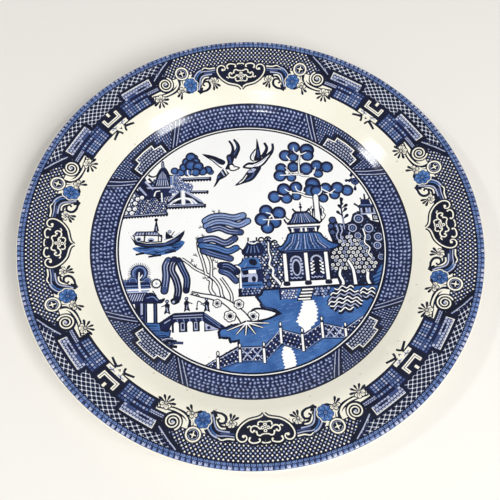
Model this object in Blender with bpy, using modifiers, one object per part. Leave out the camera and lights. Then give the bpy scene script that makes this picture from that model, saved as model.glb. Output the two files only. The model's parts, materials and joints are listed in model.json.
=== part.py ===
"""China dinner plate: an earthenware body under two skins of clear glaze.

Units are metres and +Z is up. The plate stands on its foot ring at Z = 0, and
the Z axis is the axis it was turned on. A plate is one fired piece, so its
nodes are its layers: the biscuit body, the glaze over the face, the lip and
the back, and the separate patch of glaze inside the foot ring.
"""
import math

import bpy

# Driving dimensions of the glazed plate.
RIM_RADIUS = 0.1300
PLATE_HEIGHT = 0.0250
WELL_FLOOR_Z = 0.0072
FOOT_OUTER_RADIUS = 0.0778
FOOT_INNER_RADIUS = 0.0732

# The face: flat floor, hollow curve (cavetto), shoulder, sloping rim (marly).
CAVETTO_RADIUS = 0.0820        # where floor and cavetto would meet without their curve
CAVETTO_CURVE = 0.0280
SHOULDER_RADIUS = 0.1015
SHOULDER_CURVE = 0.0300
MARLY_SLOPE = math.radians(13.7)

# The rounded lip, square to the marly.
LIP_THICKNESS = 0.0040

# The back, about 4.8 mm behind the face.
BACK_SHOULDER = (0.1036, 0.0143)
BACK_SHOULDER_CURVE = 0.0260
BACK_CAVETTO = (0.0845, 0.0028)
BACK_CAVETTO_CURVE = 0.0160
FOOT_ROOT_CURVE = 0.0010
FOOT_TAPER = 0.0006
RECESS_Z = 0.0024
FOOT_EDGE_CURVE = 0.0004

# The glaze, and the gap that keeps the meshes of two layers apart.
GLAZE_THICKNESS = 0.0004
LAYER_GAP = 0.0003
SKIN = GLAZE_THICKNESS + LAYER_GAP
GLAZE_LINE_Z = 0.0010          # the foot ring is wiped dry below this height

# Mesh detail.
TURN_STEPS = 56
ARC_SAGITTA = 0.00008          # how far an arc's chords may leave the arc
MERGE_DISTANCE = 0.00001
SMOOTH_ANGLE = math.radians(40.0)


def clear_scene():
    """Remove every object of the open scene."""
    for obj in list(bpy.data.objects):
        bpy.data.objects.remove(obj, do_unlink=True)


def plate_material(name, colour, roughness, coat):
    """A dielectric Principled material; coat is the weight of its clear top layer."""
    material = bpy.data.materials.new(name)
    material.use_nodes = True
    shader = material.node_tree.nodes["Principled BSDF"]
    shader.inputs["Base Color"].default_value = (*colour, 1.0)
    shader.inputs["Roughness"].default_value = roughness
    shader.inputs["Metallic"].default_value = 0.0
    shader.inputs["Coat Weight"].default_value = coat
    material.diffuse_color = (*colour, 1.0)
    return material


def rounded_outline(corners):
    """Points of an open outline whose inner corners (r, z, radius) are rounded by arcs."""
    points = [corners[0][:2]]
    for before, corner, after in zip(corners, corners[1:], corners[2:]):
        r, z, radius = corner
        in_length = math.hypot(r - before[0], z - before[1])
        in_r = (r - before[0]) / in_length
        in_z = (z - before[1]) / in_length
        out_length = math.hypot(after[0] - r, after[1] - z)
        out_r = (after[0] - r) / out_length
        out_z = (after[1] - z) / out_length
        turn = math.atan2(in_r * out_z - in_z * out_r, in_r * out_r + in_z * out_z)
        setback = radius * math.tan(abs(turn) / 2.0)
        side = math.copysign(1.0, turn)
        start_r = r - in_r * setback
        start_z = z - in_z * setback
        centre_r = start_r - in_z * side * radius
        centre_z = start_z + in_r * side * radius
        arc_step = 2.0 * math.acos(1.0 - ARC_SAGITTA / radius)
        steps = max(2, math.ceil(abs(turn) / arc_step))
        for step in range(steps + 1):
            angle = turn * step / steps
            arm_r = start_r - centre_r
            arm_z = start_z - centre_z
            points.append((centre_r + arm_r * math.cos(angle) - arm_z * math.sin(angle),
                           centre_z + arm_r * math.sin(angle) + arm_z * math.cos(angle)))
    points.append(corners[-1][:2])
    return points


def inset(points, distance):
    """The outline moved into the material, to the right of its direction of travel."""
    moved = []
    last = len(points) - 1
    for index, (r, z) in enumerate(points):
        normals = []
        for start, end in ((index - 1, index), (index, index + 1)):
            if start < 0 or end > last:
                continue
            run = points[end][0] - points[start][0]
            rise = points[end][1] - points[start][1]
            length = math.hypot(run, rise)
            normals.append((rise / length, -run / length))
        mean_r = sum(normal[0] for normal in normals) / len(normals)
        mean_z = sum(normal[1] for normal in normals) / len(normals)
        scale = distance / (mean_r ** 2 + mean_z ** 2)
        moved.append((r + mean_r * scale, z + mean_z * scale))
    return moved


def lip_corners():
    """Upper and lower corner of the lip, from the rim's radius, height and slope."""
    half = LIP_THICKNESS / 2.0
    centre_r = RIM_RADIUS - half
    centre_z = PLATE_HEIGHT - half
    along = (math.cos(MARLY_SLOPE) * half, math.sin(MARLY_SLOPE) * half)
    up = (-math.sin(MARLY_SLOPE) * half, math.cos(MARLY_SLOPE) * half)
    upper = (centre_r + along[0] + up[0], centre_z + along[1] + up[1])
    lower = (centre_r + along[0] - up[0], centre_z + along[1] - up[1])
    return upper, lower


def outer_outline(end_z):
    """The glazed outline from the middle of the face round the lip to the foot at end_z."""
    upper, lower = lip_corners()
    shoulder_z = upper[1] - (upper[0] - SHOULDER_RADIUS) * math.tan(MARLY_SLOPE)
    lip_curve = LIP_THICKNESS / 2.0 * 0.999
    foot_root_radius = FOOT_OUTER_RADIUS + FOOT_TAPER
    return rounded_outline([
        (0.0, WELL_FLOOR_Z),
        (CAVETTO_RADIUS, WELL_FLOOR_Z, CAVETTO_CURVE),
        (SHOULDER_RADIUS, shoulder_z, SHOULDER_CURVE),
        (*upper, lip_curve),
        (*lower, lip_curve),
        (*BACK_SHOULDER, BACK_SHOULDER_CURVE),
        (*BACK_CAVETTO, BACK_CAVETTO_CURVE),
        (foot_root_radius, BACK_CAVETTO[1], FOOT_ROOT_CURVE),
        (FOOT_OUTER_RADIUS, end_z),
    ])


def recess_outline(start_z):
    """The glazed outline from the foot's inner wall at start_z up and in to the axis."""
    return rounded_outline([
        (FOOT_INNER_RADIUS, start_z),
        (FOOT_INNER_RADIUS - FOOT_TAPER, RECESS_Z, FOOT_ROOT_CURVE),
        (0.0, RECESS_Z),
    ])


def turned(name, outline, material, collection):
    """A solid of revolution about Z; its outline lies in the XZ plane and runs downwards."""
    mesh = bpy.data.meshes.new(name)
    vertices = [(r, 0.0, z) for r, z in outline]
    edges = [(index, index + 1) for index in range(len(vertices) - 1)]
    if outline[0][0] > 0.0:
        edges.append((len(vertices) - 1, 0))
    mesh.from_pydata(vertices, edges, [])
    mesh.materials.append(material)
    obj = bpy.data.objects.new(name, mesh)
    collection.objects.link(obj)
    screw = obj.modifiers.new("turn", "SCREW")
    screw.axis = "Z"
    screw.angle = math.tau
    screw.steps = TURN_STEPS
    screw.render_steps = TURN_STEPS
    screw.use_merge_vertices = True
    screw.merge_threshold = MERGE_DISTANCE
    screw.use_smooth_shade = True
    return obj


def smooth_edges(obj):
    """Bake the turned mesh and mark its corners sharp, so only the curves shade smooth."""
    depsgraph = bpy.context.evaluated_depsgraph_get()
    mesh = bpy.data.meshes.new_from_object(obj.evaluated_get(depsgraph))
    mesh.name = obj.name
    obj.modifiers.clear()
    obj.data = mesh
    mesh.shade_smooth()
    mesh.set_sharp_from_angle(angle=SMOOTH_ANGLE)


def make_body(collection):
    """The biscuit-fired clay, a skin's thickness inside the glazed outline."""
    clay = plate_material("biscuit_clay", (0.86, 0.81, 0.72), 0.75, 0.0)
    outside = inset(outer_outline(0.0), SKIN)
    recess = inset(recess_outline(0.0), SKIN)
    foot_outer = outside.pop()[0]
    foot_inner = recess.pop(0)[0]
    foot = rounded_outline([
        (foot_outer, FOOT_EDGE_CURVE * 2.0),
        (foot_outer, 0.0, FOOT_EDGE_CURVE),
        (foot_inner, 0.0, FOOT_EDGE_CURVE),
        (foot_inner, FOOT_EDGE_CURVE * 2.0),
    ])
    return turned("biscuit_body", outside + foot + recess, clay, collection)


def make_main_glaze(collection):
    """Clear glaze over the face, round the lip and down the back to the foot."""
    glaze = plate_material("main_glaze", (0.84, 0.84, 0.79), 0.12, 1.0)
    outside = outer_outline(GLAZE_LINE_Z)
    inside = inset(outside, GLAZE_THICKNESS)
    inside.reverse()
    return turned("main_glaze", outside + inside, glaze, collection)


def make_underside_glaze(collection):
    """Clear glaze in the recess inside the foot ring."""
    glaze = plate_material("underside_glaze", (0.82, 0.83, 0.78), 0.15, 1.0)
    outside = recess_outline(GLAZE_LINE_Z)
    inside = inset(outside, GLAZE_THICKNESS)
    inside.reverse()
    return turned("underside_glaze", inside + outside, glaze, collection)


def main():
    clear_scene()
    collection = bpy.data.collections.new("china_dinner_plate")
    bpy.context.scene.collection.children.link(collection)
    for make in (make_body, make_main_glaze, make_underside_glaze):
        smooth_edges(make(collection))


main()
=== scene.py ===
"""Looks of the china dinner plate: glaze, cobalt transfer print, floor, light and camera.

The face is inlaid: every area of ink or bare glaze is its own patch of a mesh
that follows the turned face. The print is drawn flat, in millimetres, as
closed shapes of one tone each, later shapes over earlier ones.
"""
import json
import math
import random

import bmesh
import bpy
import numpy as np
from mathutils import Matrix, Vector
from mathutils.geometry import delaunay_2d_cdt


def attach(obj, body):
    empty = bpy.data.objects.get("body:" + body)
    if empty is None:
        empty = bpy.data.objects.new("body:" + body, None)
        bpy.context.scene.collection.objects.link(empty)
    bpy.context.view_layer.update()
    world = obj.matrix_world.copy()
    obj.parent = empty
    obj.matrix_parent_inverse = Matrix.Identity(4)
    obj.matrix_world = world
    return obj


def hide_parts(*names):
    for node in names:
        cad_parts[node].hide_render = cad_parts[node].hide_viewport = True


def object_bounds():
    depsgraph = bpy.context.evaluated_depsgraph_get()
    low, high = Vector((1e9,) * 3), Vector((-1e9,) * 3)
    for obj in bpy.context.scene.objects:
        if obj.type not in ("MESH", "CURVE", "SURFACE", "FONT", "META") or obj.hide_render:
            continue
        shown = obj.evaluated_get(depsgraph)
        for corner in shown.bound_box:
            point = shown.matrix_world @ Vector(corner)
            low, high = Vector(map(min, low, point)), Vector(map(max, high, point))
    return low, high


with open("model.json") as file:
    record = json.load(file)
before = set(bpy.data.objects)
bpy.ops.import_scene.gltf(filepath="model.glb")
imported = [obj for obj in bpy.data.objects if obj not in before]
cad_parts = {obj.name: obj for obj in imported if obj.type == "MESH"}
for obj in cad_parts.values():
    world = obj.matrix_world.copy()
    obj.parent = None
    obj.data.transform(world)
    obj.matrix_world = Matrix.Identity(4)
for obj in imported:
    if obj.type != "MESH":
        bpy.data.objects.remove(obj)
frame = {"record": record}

CAD_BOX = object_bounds()

MM = 0.001
MOUNTS = {mount["name"]: mount for mount in frame["record"]["mounts"]}

# --------------------------------------------------------------------------
# The turned shape, in mm, tied to the CAD model's box and its well floor.
# --------------------------------------------------------------------------
RIM_RADIUS = round(CAD_BOX[1][0] / MM, 0)
PLATE_HEIGHT = round(CAD_BOX[1][2] / MM, 0)
WELL_FLOOR_Z = MOUNTS["well_floor"]["pos_m"][2] / MM
FOOT_OUTER_RADIUS = 77.8
FOOT_INNER_RADIUS = 73.2
CAVETTO_RADIUS = 82.0
CAVETTO_CURVE = 28.0
SHOULDER_RADIUS = 101.5
SHOULDER_CURVE = 30.0
MARLY_SLOPE = math.radians(13.7)
LIP_THICKNESS = 4.0
BACK_SHOULDER = (103.6, 14.3, 26.0)
BACK_CAVETTO = (84.5, 2.8, 16.0)
FOOT_ROOT_CURVE = 1.0
FOOT_TAPER = 0.6
RECESS_Z = 2.4
GLAZE_LINE_Z = 1.0
GLAZE_SHOW = 0.25              # how far the glaze stands proud of the bare foot
ROLL_BULGE = 0.10              # how far the glaze's edge has rolled in half way down,
ROLL_MIDDLE_Z = GLAZE_LINE_Z - 0.12   # at this height,
ROLL_END_Z = GLAZE_LINE_Z - 0.15      # before it meets the bare foot here
FOOT_EDGE_CURVE = 0.4

# The print's circles, as radii in mm.
WELL_EDGE = 77.0               # the centre scene ends at a black and a bare line
RING_INNER = 78.0
RING_OUTER = 91.8
PRINT_EDGE = 129.2             # outside it the lip is bare
BAND_INNER = 125.3
BAND_MIDDLE = 127.2
NET_INNER = 113.0
CIRCLE_POINTS = 300            # corners of a drawn circle
MITRE_LIMIT = 0.35             # keeps a stroke's sharp corners from spiking

# The tones of the print.
GLAZE, INK, NAVY, DUSK, BLUE, SKY, LILAC = range(7)


def rounded_outline(corners, arc_step):
    """Points of an open outline whose inner corners (r, z, radius) are rounded by arcs."""
    points = [corners[0][:2]]
    for before, corner, after in zip(corners, corners[1:], corners[2:]):
        r, z, radius = corner
        in_length = math.hypot(r - before[0], z - before[1])
        in_r = (r - before[0]) / in_length
        in_z = (z - before[1]) / in_length
        out_length = math.hypot(after[0] - r, after[1] - z)
        out_r = (after[0] - r) / out_length
        out_z = (after[1] - z) / out_length
        turn = math.atan2(in_r * out_z - in_z * out_r, in_r * out_r + in_z * out_z)
        setback = radius * math.tan(abs(turn) / 2.0)
        side = math.copysign(1.0, turn)
        start_r = r - in_r * setback
        start_z = z - in_z * setback
        centre_r = start_r - in_z * side * radius
        centre_z = start_z + in_r * side * radius
        steps = max(2, math.ceil(abs(turn) / arc_step))
        for step in range(steps + 1):
            angle = turn * step / steps
            arm_r = start_r - centre_r
            arm_z = start_z - centre_z
            points.append((centre_r + arm_r * math.cos(angle) - arm_z * math.sin(angle),
                           centre_z + arm_r * math.sin(angle) + arm_z * math.cos(angle)))
    points.append(corners[-1][:2])
    return points


def lip_corners():
    """Upper and lower corner of the lip, square to the marly's slope."""
    half = LIP_THICKNESS / 2.0
    centre_r = RIM_RADIUS - half
    centre_z = PLATE_HEIGHT - half
    along = (math.cos(MARLY_SLOPE) * half, math.sin(MARLY_SLOPE) * half)
    up = (-math.sin(MARLY_SLOPE) * half, math.cos(MARLY_SLOPE) * half)
    upper = (centre_r + along[0] + up[0], centre_z + along[1] + up[1])
    lower = (centre_r + along[0] - up[0], centre_z + along[1] - up[1])
    return upper, lower


def plate_outline(arc_step):
    """The glazed outline from the middle of the face round the lip to the glaze line."""
    upper, lower = lip_corners()
    shoulder_z = upper[1] - (upper[0] - SHOULDER_RADIUS) * math.tan(MARLY_SLOPE)
    lip_curve = LIP_THICKNESS / 2.0 * 0.999
    return rounded_outline([
        (0.0, WELL_FLOOR_Z),
        (CAVETTO_RADIUS, WELL_FLOOR_Z, CAVETTO_CURVE),
        (SHOULDER_RADIUS, shoulder_z, SHOULDER_CURVE),
        (*upper, lip_curve),
        (*lower, lip_curve),
        BACK_SHOULDER,
        BACK_CAVETTO,
        (FOOT_OUTER_RADIUS + FOOT_TAPER, BACK_CAVETTO[1], FOOT_ROOT_CURVE),
        (FOOT_OUTER_RADIUS, GLAZE_LINE_Z),
    ], arc_step)


FINE_OUTLINE = plate_outline(math.radians(0.5))
FACE_END = max(range(len(FINE_OUTLINE)), key=lambda index: FINE_OUTLINE[index][0])
SLOPE_REACH = 0.05             # mm to either side over which the face's slope is taken
FACE_R = np.array([point[0] for point in FINE_OUTLINE[:FACE_END + 1]])
FACE_Z = np.array([point[1] for point in FINE_OUTLINE[:FACE_END + 1]])


def face_height(radius):
    """Height of the face in mm at a radius in mm."""
    return np.interp(radius, FACE_R, FACE_Z)


# --------------------------------------------------------------------------
# Drawing
# --------------------------------------------------------------------------
def ellipse(x, y, rx, ry=None, turn=0.0, count=14):
    """Points of an ellipse; turn is in degrees."""
    ry = rx if ry is None else ry
    angles = np.arange(count) * math.tau / count
    px = rx * np.cos(angles)
    py = ry * np.sin(angles)
    c = math.cos(math.radians(turn))
    s = math.sin(math.radians(turn))
    return np.stack([x + px * c - py * s, y + px * s + py * c], 1)


def arc(x, y, radius, start, end, count=10, squash=1.0):
    """Points along an arc; angles in degrees."""
    angles = np.radians(np.linspace(start, end, count))
    return np.stack([x + radius * np.cos(angles), y + radius * squash * np.sin(angles)], 1)


def smooth(points, closed=False, steps=4):
    """A Catmull-Rom curve through the points."""
    p = np.asarray(points, float)
    if closed:
        p = np.concatenate([p[-1:], p, p[:2]])
    else:
        p = np.concatenate([2 * p[:1] - p[1:2], p, 2 * p[-1:] - p[-2:-1]])
    t = np.arange(steps)[:, None] / steps
    out = []
    for a, b, c, d in zip(p, p[1:], p[2:], p[3:]):
        out.append(0.5 * (2 * b + (c - a) * t + (2 * a - 5 * b + 4 * c - d) * t ** 2
                          + (3 * b - a - 3 * c + d) * t ** 3))
    if not closed:
        out.append(p[-2:-1])
    return np.concatenate(out)


def ribbon(path, width, tip=None, closed=False):
    """The outline of a stroke along path; its width runs from width to tip."""
    p = np.asarray(path, float)
    tip = width if tip is None else tip
    if closed:
        p = np.concatenate([p, p[:1]])
    step = np.diff(p, axis=0)
    length = np.maximum(np.hypot(step[:, 0], step[:, 1]), 1e-9)
    normal = np.stack([-step[:, 1], step[:, 0]], 1) / length[:, None]
    if closed:
        before = np.concatenate([normal[-1:], normal])
        after = np.concatenate([normal, normal[:1]])
    else:
        before = np.concatenate([normal[:1], normal])
        after = np.concatenate([normal, normal[-1:]])
    mean = (before + after) / 2.0
    mean /= np.maximum((mean ** 2).sum(1), MITRE_LIMIT)[:, None]
    run = np.concatenate([[0.0], np.cumsum(length)])
    half = (width + (tip - width) * run / run[-1]) / 2.0
    left = p + mean * half[:, None]
    right = p - mean * half[:, None]
    return np.concatenate([left, right[::-1]])


class Sheet:
    """A transfer print: a list of (tone, closed outline in mm), the later on top."""

    def __init__(self):
        self.shapes = []

    def fill(self, tone, points):
        """A closed shape of one tone."""
        self.shapes.append((tone, np.asarray(points, float)))

    def blob(self, tone, points):
        """A closed shape that curves through the points."""
        self.fill(tone, smooth(points, closed=True))

    def line(self, tone, points, width=0.5, tip=None, closed=False):
        """A stroke, straight from point to point."""
        self.fill(tone, ribbon(points, width, tip, closed))

    def curve(self, tone, points, width, tip=None):
        """An open stroke that curves through the points."""
        self.fill(tone, ribbon(smooth(points), width, tip))

    def dot(self, tone, x, y, radius, count=8):
        """A disc of count corners."""
        self.fill(tone, ellipse(x, y, radius, count=count))

    def edged(self, edge, tone, points, width=0.5):
        """A filled shape with a drawn edge."""
        self.fill(tone, points)
        self.line(edge, points, width, closed=True)

    def rosette(self, x, y, *bands, count=16):
        """Concentric discs, given as (tone, radius) from the outside in."""
        for tone, radius in bands:
            self.dot(tone, x, y, radius, count)

    def add(self, other, *moves):
        """The shapes of another sheet, once for each move of their points."""
        for move in moves:
            for tone, points in other.shapes:
                self.shapes.append((tone, move(points)))


def placed(x, y, turn=0.0, scale=1.0, flip=False):
    """A move that turns by degrees, scales and shifts; flip mirrors left and right first."""
    c = math.cos(math.radians(turn)) * scale
    s = math.sin(math.radians(turn)) * scale

    def move(points):
        px = -points[:, 0] if flip else points[:, 0]
        py = points[:, 1]
        return np.stack([x + px * c - py * s, y + px * s + py * c], 1)
    return move


IN_PLACE = placed(0.0, 0.0)


def polar(points):
    """(degrees clockwise from +Y, radius) pairs as x, y."""
    p = np.asarray(points, float)
    angle = np.radians(p[:, 0])
    return np.stack([p[:, 1] * np.sin(angle), p[:, 1] * np.cos(angle)], 1)


def on_rim(degrees, radius):
    """A move from local mm (x along the rim, y outwards) to a place on the plate."""
    x = radius * math.sin(math.radians(degrees))
    y = radius * math.cos(math.radians(degrees))
    return placed(x, y, -degrees)


def box(left, right, bottom, top):
    """A rectangle's corners; in polar use degrees and radii."""
    return [(left, bottom), (right, bottom), (right, top), (left, top)]


def polar_box(left, right, bottom, top, step=1.5):
    """A band of the plate between two angles and two radii."""
    count = max(2, int(abs(right - left) / step) + 1)
    angles = np.linspace(left, right, count)
    low = [(angle, bottom) for angle in angles]
    high = [(angle, top) for angle in angles[::-1]]
    return polar(low + high)


# --------------------------------------------------------------------------
# Inlaying a sheet into the face
# --------------------------------------------------------------------------
WELD_DISTANCE = 1e-4           # mm; outline points closer than this become one
BLOCK = 20000                  # points that are tested against an outline at a time


def winding(px, py, outline):
    """Winding number of an outline round each point."""
    x0 = outline[:, 0]
    y0 = outline[:, 1]
    x1 = np.roll(x0, -1)
    y1 = np.roll(y0, -1)
    side = (x1 - x0) * (py[:, None] - y0) - (px[:, None] - x0) * (y1 - y0)
    low = y0 <= py[:, None]
    high = y1 <= py[:, None]
    up = low & ~high & (side > 0)
    down = ~low & high & (side < 0)
    return up.sum(1) - down.sum(1)


def inlay(sheet, border, spare_points):
    """Triangles of the region inside border, and the tone of each."""
    coords = []
    edges = []
    for outline in [border] + [points for tone, points in sheet.shapes]:
        start = len(coords)
        count = len(outline)
        coords.extend(Vector((float(x), float(y))) for x, y in outline)
        edges.extend((start + index, start + (index + 1) % count) for index in range(count))
    coords.extend(Vector((float(x), float(y))) for x, y in spare_points)
    flat, _, faces, _, _, _ = delaunay_2d_cdt(coords, edges, [], 0, WELD_DISTANCE, False)
    verts = np.array([(v[0], v[1]) for v in flat])
    tris = np.array([face for face in faces if len(face) == 3])
    middle = verts[tris].mean(1)
    inside = in_region(middle, np.asarray(border))
    tris = tris[inside]
    middle = middle[inside]
    order = np.argsort(middle[:, 0])
    tris = tris[order]
    middle = middle[order]
    tone_of = np.zeros(len(tris), int)
    for tone, outline in sheet.shapes:
        low = outline.min(0)
        high = outline.max(0)
        first = np.searchsorted(middle[:, 0], low[0])
        last = np.searchsorted(middle[:, 0], high[0])
        part = middle[first:last]
        near = first + np.nonzero((part[:, 1] >= low[1]) & (part[:, 1] <= high[1]))[0]
        if len(near):
            tone_of[near[in_region(middle[near], outline)]] = tone
    return verts, tris, tone_of


def in_region(points, outline):
    """Whether each point is inside an outline, tested in blocks to save memory."""
    hits = [winding(points[start:start + BLOCK, 0], points[start:start + BLOCK, 1], outline) != 0
            for start in range(0, len(points), BLOCK)]
    return np.concatenate(hits)


def new_object(name, data):
    """An object in the scene for a mesh, a light or a camera."""
    obj = bpy.data.objects.new(name, data)
    bpy.context.scene.collection.objects.link(obj)
    return obj


def face_mesh(name, verts, tris, tone_of, materials, turn=0.0):
    """The inlaid triangles laid on the turned face, with the face's true normals."""
    used, inverse = np.unique(tris, return_inverse=True)
    tris = inverse.reshape(-1, 3)
    flat = verts[used]
    c = math.cos(turn)
    s = math.sin(turn)
    flat = np.stack([flat[:, 0] * c - flat[:, 1] * s, flat[:, 0] * s + flat[:, 1] * c], 1)
    radius = np.hypot(flat[:, 0], flat[:, 1])
    height = face_height(radius)
    slope = (face_height(radius + SLOPE_REACH)
             - face_height(np.maximum(radius - SLOPE_REACH, 0.0))) / (2.0 * SLOPE_REACH)
    across = flat / np.maximum(radius, 1e-6)[:, None]
    normal = np.stack([-slope * across[:, 0], -slope * across[:, 1], np.ones(len(flat))], 1)
    normal /= np.linalg.norm(normal, axis=1)[:, None]
    points = np.stack([flat[:, 0], flat[:, 1], height], 1) * MM
    a = flat[tris[:, 0]]
    b = flat[tris[:, 1]]
    d = flat[tris[:, 2]]
    area = (b[:, 0] - a[:, 0]) * (d[:, 1] - a[:, 1]) - (b[:, 1] - a[:, 1]) * (d[:, 0] - a[:, 0])
    tris = np.where((area < 0)[:, None], tris[:, ::-1], tris)
    mesh = bpy.data.meshes.new(name)
    mesh.from_pydata(points.tolist(), [], tris.tolist())
    for material in materials:
        mesh.materials.append(material)
    mesh.polygons.foreach_set("material_index", tone_of.astype(np.int32))
    mesh.polygons.foreach_set("use_smooth", np.ones(len(tris), bool))
    mesh.update()
    mesh.normals_split_custom_set_from_vertices(normal.tolist())
    return new_object(name, mesh)


def polar_grid(inner, outer, spacing, start=0.0, end=360.0):
    """Points spread over a band of the plate, to keep its triangles small."""
    points = []
    rings = max(1, round((outer - inner) / spacing))
    for ring in range(1, rings):
        radius = inner + (outer - inner) * ring / rings
        count = max(3, round(radius * math.radians(end - start) / spacing))
        shift = 0.5 * (ring % 2)
        for index in range(count):
            angle = math.radians(start + (end - start) * (index + 0.25 + shift) / count)
            points.append((radius * math.sin(angle), radius * math.cos(angle)))
    return points


# --------------------------------------------------------------------------
# The rim border. One half of a quarter is drawn, from the medallion's middle
# at 0 degrees to the diagonal at 45, then mirrored and turned.
# --------------------------------------------------------------------------
HALF_QUARTER = 45.0
NET_COLUMNS = 40               # diamonds in half a quarter
NET_STEP = HALF_QUARTER / NET_COLUMNS
NET_ROW = 1.30
CELL_COUNT = 34                # cells of the outer band in half a quarter


def rim_strokes(sheet, *strokes):
    """Curved strokes: (tone, width, tip width, points as (degrees, radius))."""
    for tone, width, tip, points in strokes:
        sheet.line(tone, polar(smooth(points)), width, tip)


def bands(sheet, *spans):
    """Polar boxes: (tone, left, right, bottom, top)."""
    for tone, *span in spans:
        sheet.fill(tone, polar_box(*span))


def rim_shape(sheet, tone, points):
    """A rounded shape through (degrees, radius) points."""
    sheet.fill(tone, polar(smooth(points, closed=True, steps=3)))


def diamond(angle, radius, wide, tall):
    """A diamond's corners about a place on the rim."""
    return polar([(angle - wide, radius), (angle, radius - tall),
                  (angle + wide, radius), (angle, radius + tall)])


def rim_net(sheet):
    """A dark net with pale knots."""
    sheet.fill(NAVY, polar_box(0.0, HALF_QUARTER, NET_INNER, BAND_INNER + 0.4))
    rows = int((BAND_INNER - NET_INNER) / NET_ROW)
    for row in range(rows):
        radius = NET_INNER + 1.0 + NET_ROW * row
        pale = LILAC if row % 2 else GLAZE
        for column in range(NET_COLUMNS + 1):
            for tone, shift, wide, tall in ((INK, 0.5, 0.38, 0.62), (pale, 0.0, 0.27, 0.60)):
                angle = NET_STEP * (column + 0.5 * (row % 2) + shift)
                if angle > HALF_QUARTER + 0.1:
                    continue
                sheet.fill(tone, diamond(angle, radius, wide, tall))


def rim_trellis(sheet):
    """The larger trellis behind the corner panels: crossing pale lines with bare knots."""
    sheet.fill(INK, polar_box(33.5, HALF_QUARTER, 114.0, BAND_INNER))
    sheet.fill(INK, polar([(21.5, BAND_INNER), (27.0, 118.0), (34.0, 118.0), (34.0, BAND_INNER)]))
    half_wide = 0.88
    half_tall = 1.36
    knots = Sheet()
    for row in range(4):
        radius = 116.2 + 2.0 * half_tall * row
        for column in range(-1, 13):
            angle = HALF_QUARTER - 2.0 * half_wide * column
            first = 34.0 if radius < 121.0 else 24.6 - (radius - 121.0) * 0.5
            if angle < first or angle > HALF_QUARTER + 1.0:
                continue
            sheet.line(LILAC, diamond(angle, radius, half_wide, half_tall), 0.40, closed=True)
            for shift, rise in ((-half_wide, 0.0), (0.0, -half_tall)):
                knots.fill(GLAZE, diamond(angle + shift, radius + rise, 0.23, 0.46))
    sheet.add(knots, IN_PLACE)


def rim_band(sheet):
    """The washed outer band: a row of ringed beads inside a row of pale cells."""
    rng = random.Random(11)
    bands(sheet, (DUSK, 0.0, HALF_QUARTER, BAND_INNER, PRINT_EDGE),
          (INK, 0.0, HALF_QUARTER, BAND_INNER - 0.2, BAND_INNER + 0.2))
    for index in range(CELL_COUNT):
        angle = HALF_QUARTER * (index + 0.5) / CELL_COUNT
        sheet.add(band_step(rng.random() < 0.5), on_rim(angle, BAND_MIDDLE))


def band_step(bright):
    """One step of the band, in local mm about its middle line."""
    step = Sheet()
    tone = LILAC if bright else SKY
    step.fill(NAVY, box(-1.45, 1.45, -1.75, 0.0))
    step.fill(SKY, ellipse(-0.35, -0.85, 0.95, 0.70, count=10))
    step.fill(DUSK if bright else BLUE, ellipse(-0.35, -0.85, 0.42, 0.32, count=6))
    step.fill(SKY, box(0.75, 1.15, -1.60, -0.15))
    step.fill(tone, box(-1.10, 0.55, 0.20, 1.75))
    step.fill(NAVY, box(0.62, 1.30, 0.00, 1.60))
    step.fill(DUSK, box(-0.65, -0.25, 0.20, 0.75))
    return step


def medallion():
    """Half of the black cartouche, in local mm from its middle at radius 108."""
    half = Sheet()
    crown = [(0.0, -8.2), (1.4, -6.8), (3.2, -6.0), (5.6, -5.5), (8.0, -4.9), (10.3, -3.6),
             (12.3, -1.9), (13.9, 0.3), (14.7, 2.7), (14.2, 4.9), (12.6, 6.1), (10.8, 5.9)]
    hem = [(9.2, 5.6), (8.5, 6.8), (6.8, 7.6), (4.8, 7.4), (3.2, 6.6), (1.6, 7.5), (0.0, 7.6)]
    outer = smooth(crown + hem)
    half.line(INK, outer, 2.4)
    half.fill(INK, np.concatenate([outer, [(-0.4, 7.6), (-0.4, -8.2)]]))
    for width, path in ((0.80, crown + [(9.7, 4.7), (10.0, 3.3), (11.2, 3.0)]),
                        (0.80, [(8.2, 4.4), (8.5, 5.9), (7.0, 7.0), (5.0, 7.0), (3.3, 6.4),
                                (3.0, 5.4)]),
                        (0.75, [(2.2, 6.7), (1.2, 7.2), (-0.2, 7.2)])):
        half.curve(GLAZE, path, width, width * 0.85)
    for x, y, radius in ((11.3, 3.4, 0.80), (8.1, 4.4, 0.55), (3.3, 5.3, 0.55)):
        half.dot(GLAZE, x, y, radius)
    half.add(cartouche_scrolls(), placed(0.0, 0.2, scale=0.84))
    return half


def cartouche_scrolls():
    """Half of the little flower and scrolls inside the cartouche."""
    half = Sheet()
    for width, path in ((0.85, [(4.3, -3.1), (3.9, -4.4), (2.5, -4.9), (1.2, -4.5), (-0.2, -4.9)]),
                        (0.95, [(2.4, -0.4), (3.5, -0.5), (4.7, -1.8), (6.7, -2.3), (8.4, -1.4),
                                (8.9, 0.4), (7.9, 1.6), (6.8, 0.9)]),
                        (0.75, [(8.4, -1.4), (9.4, -2.3), (10.4, -1.8)]),
                        (0.90, [(5.3, 1.6), (4.9, 3.2), (3.5, 3.8), (2.3, 3.2), (1.1, 2.9),
                                (-0.2, 2.9)])):
        half.curve(GLAZE, path, width, width * 0.85)
    for x, y, radius in ((4.2, -3.0, 0.60), (6.8, 0.8, 0.75), (5.4, 1.5, 0.65), (10.5, -1.7, 0.50)):
        half.dot(GLAZE, x, y, radius)
    for x, y in ((0.0, -2.9), (0.0, 0.9), (1.7, -1.0)):
        half.rosette(x, y, (GLAZE, 1.15), (DUSK, 0.50), count=10)
    half.rosette(0.0, -1.0, (INK, 1.0), (GLAZE, 0.55), count=10)
    return half


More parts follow.
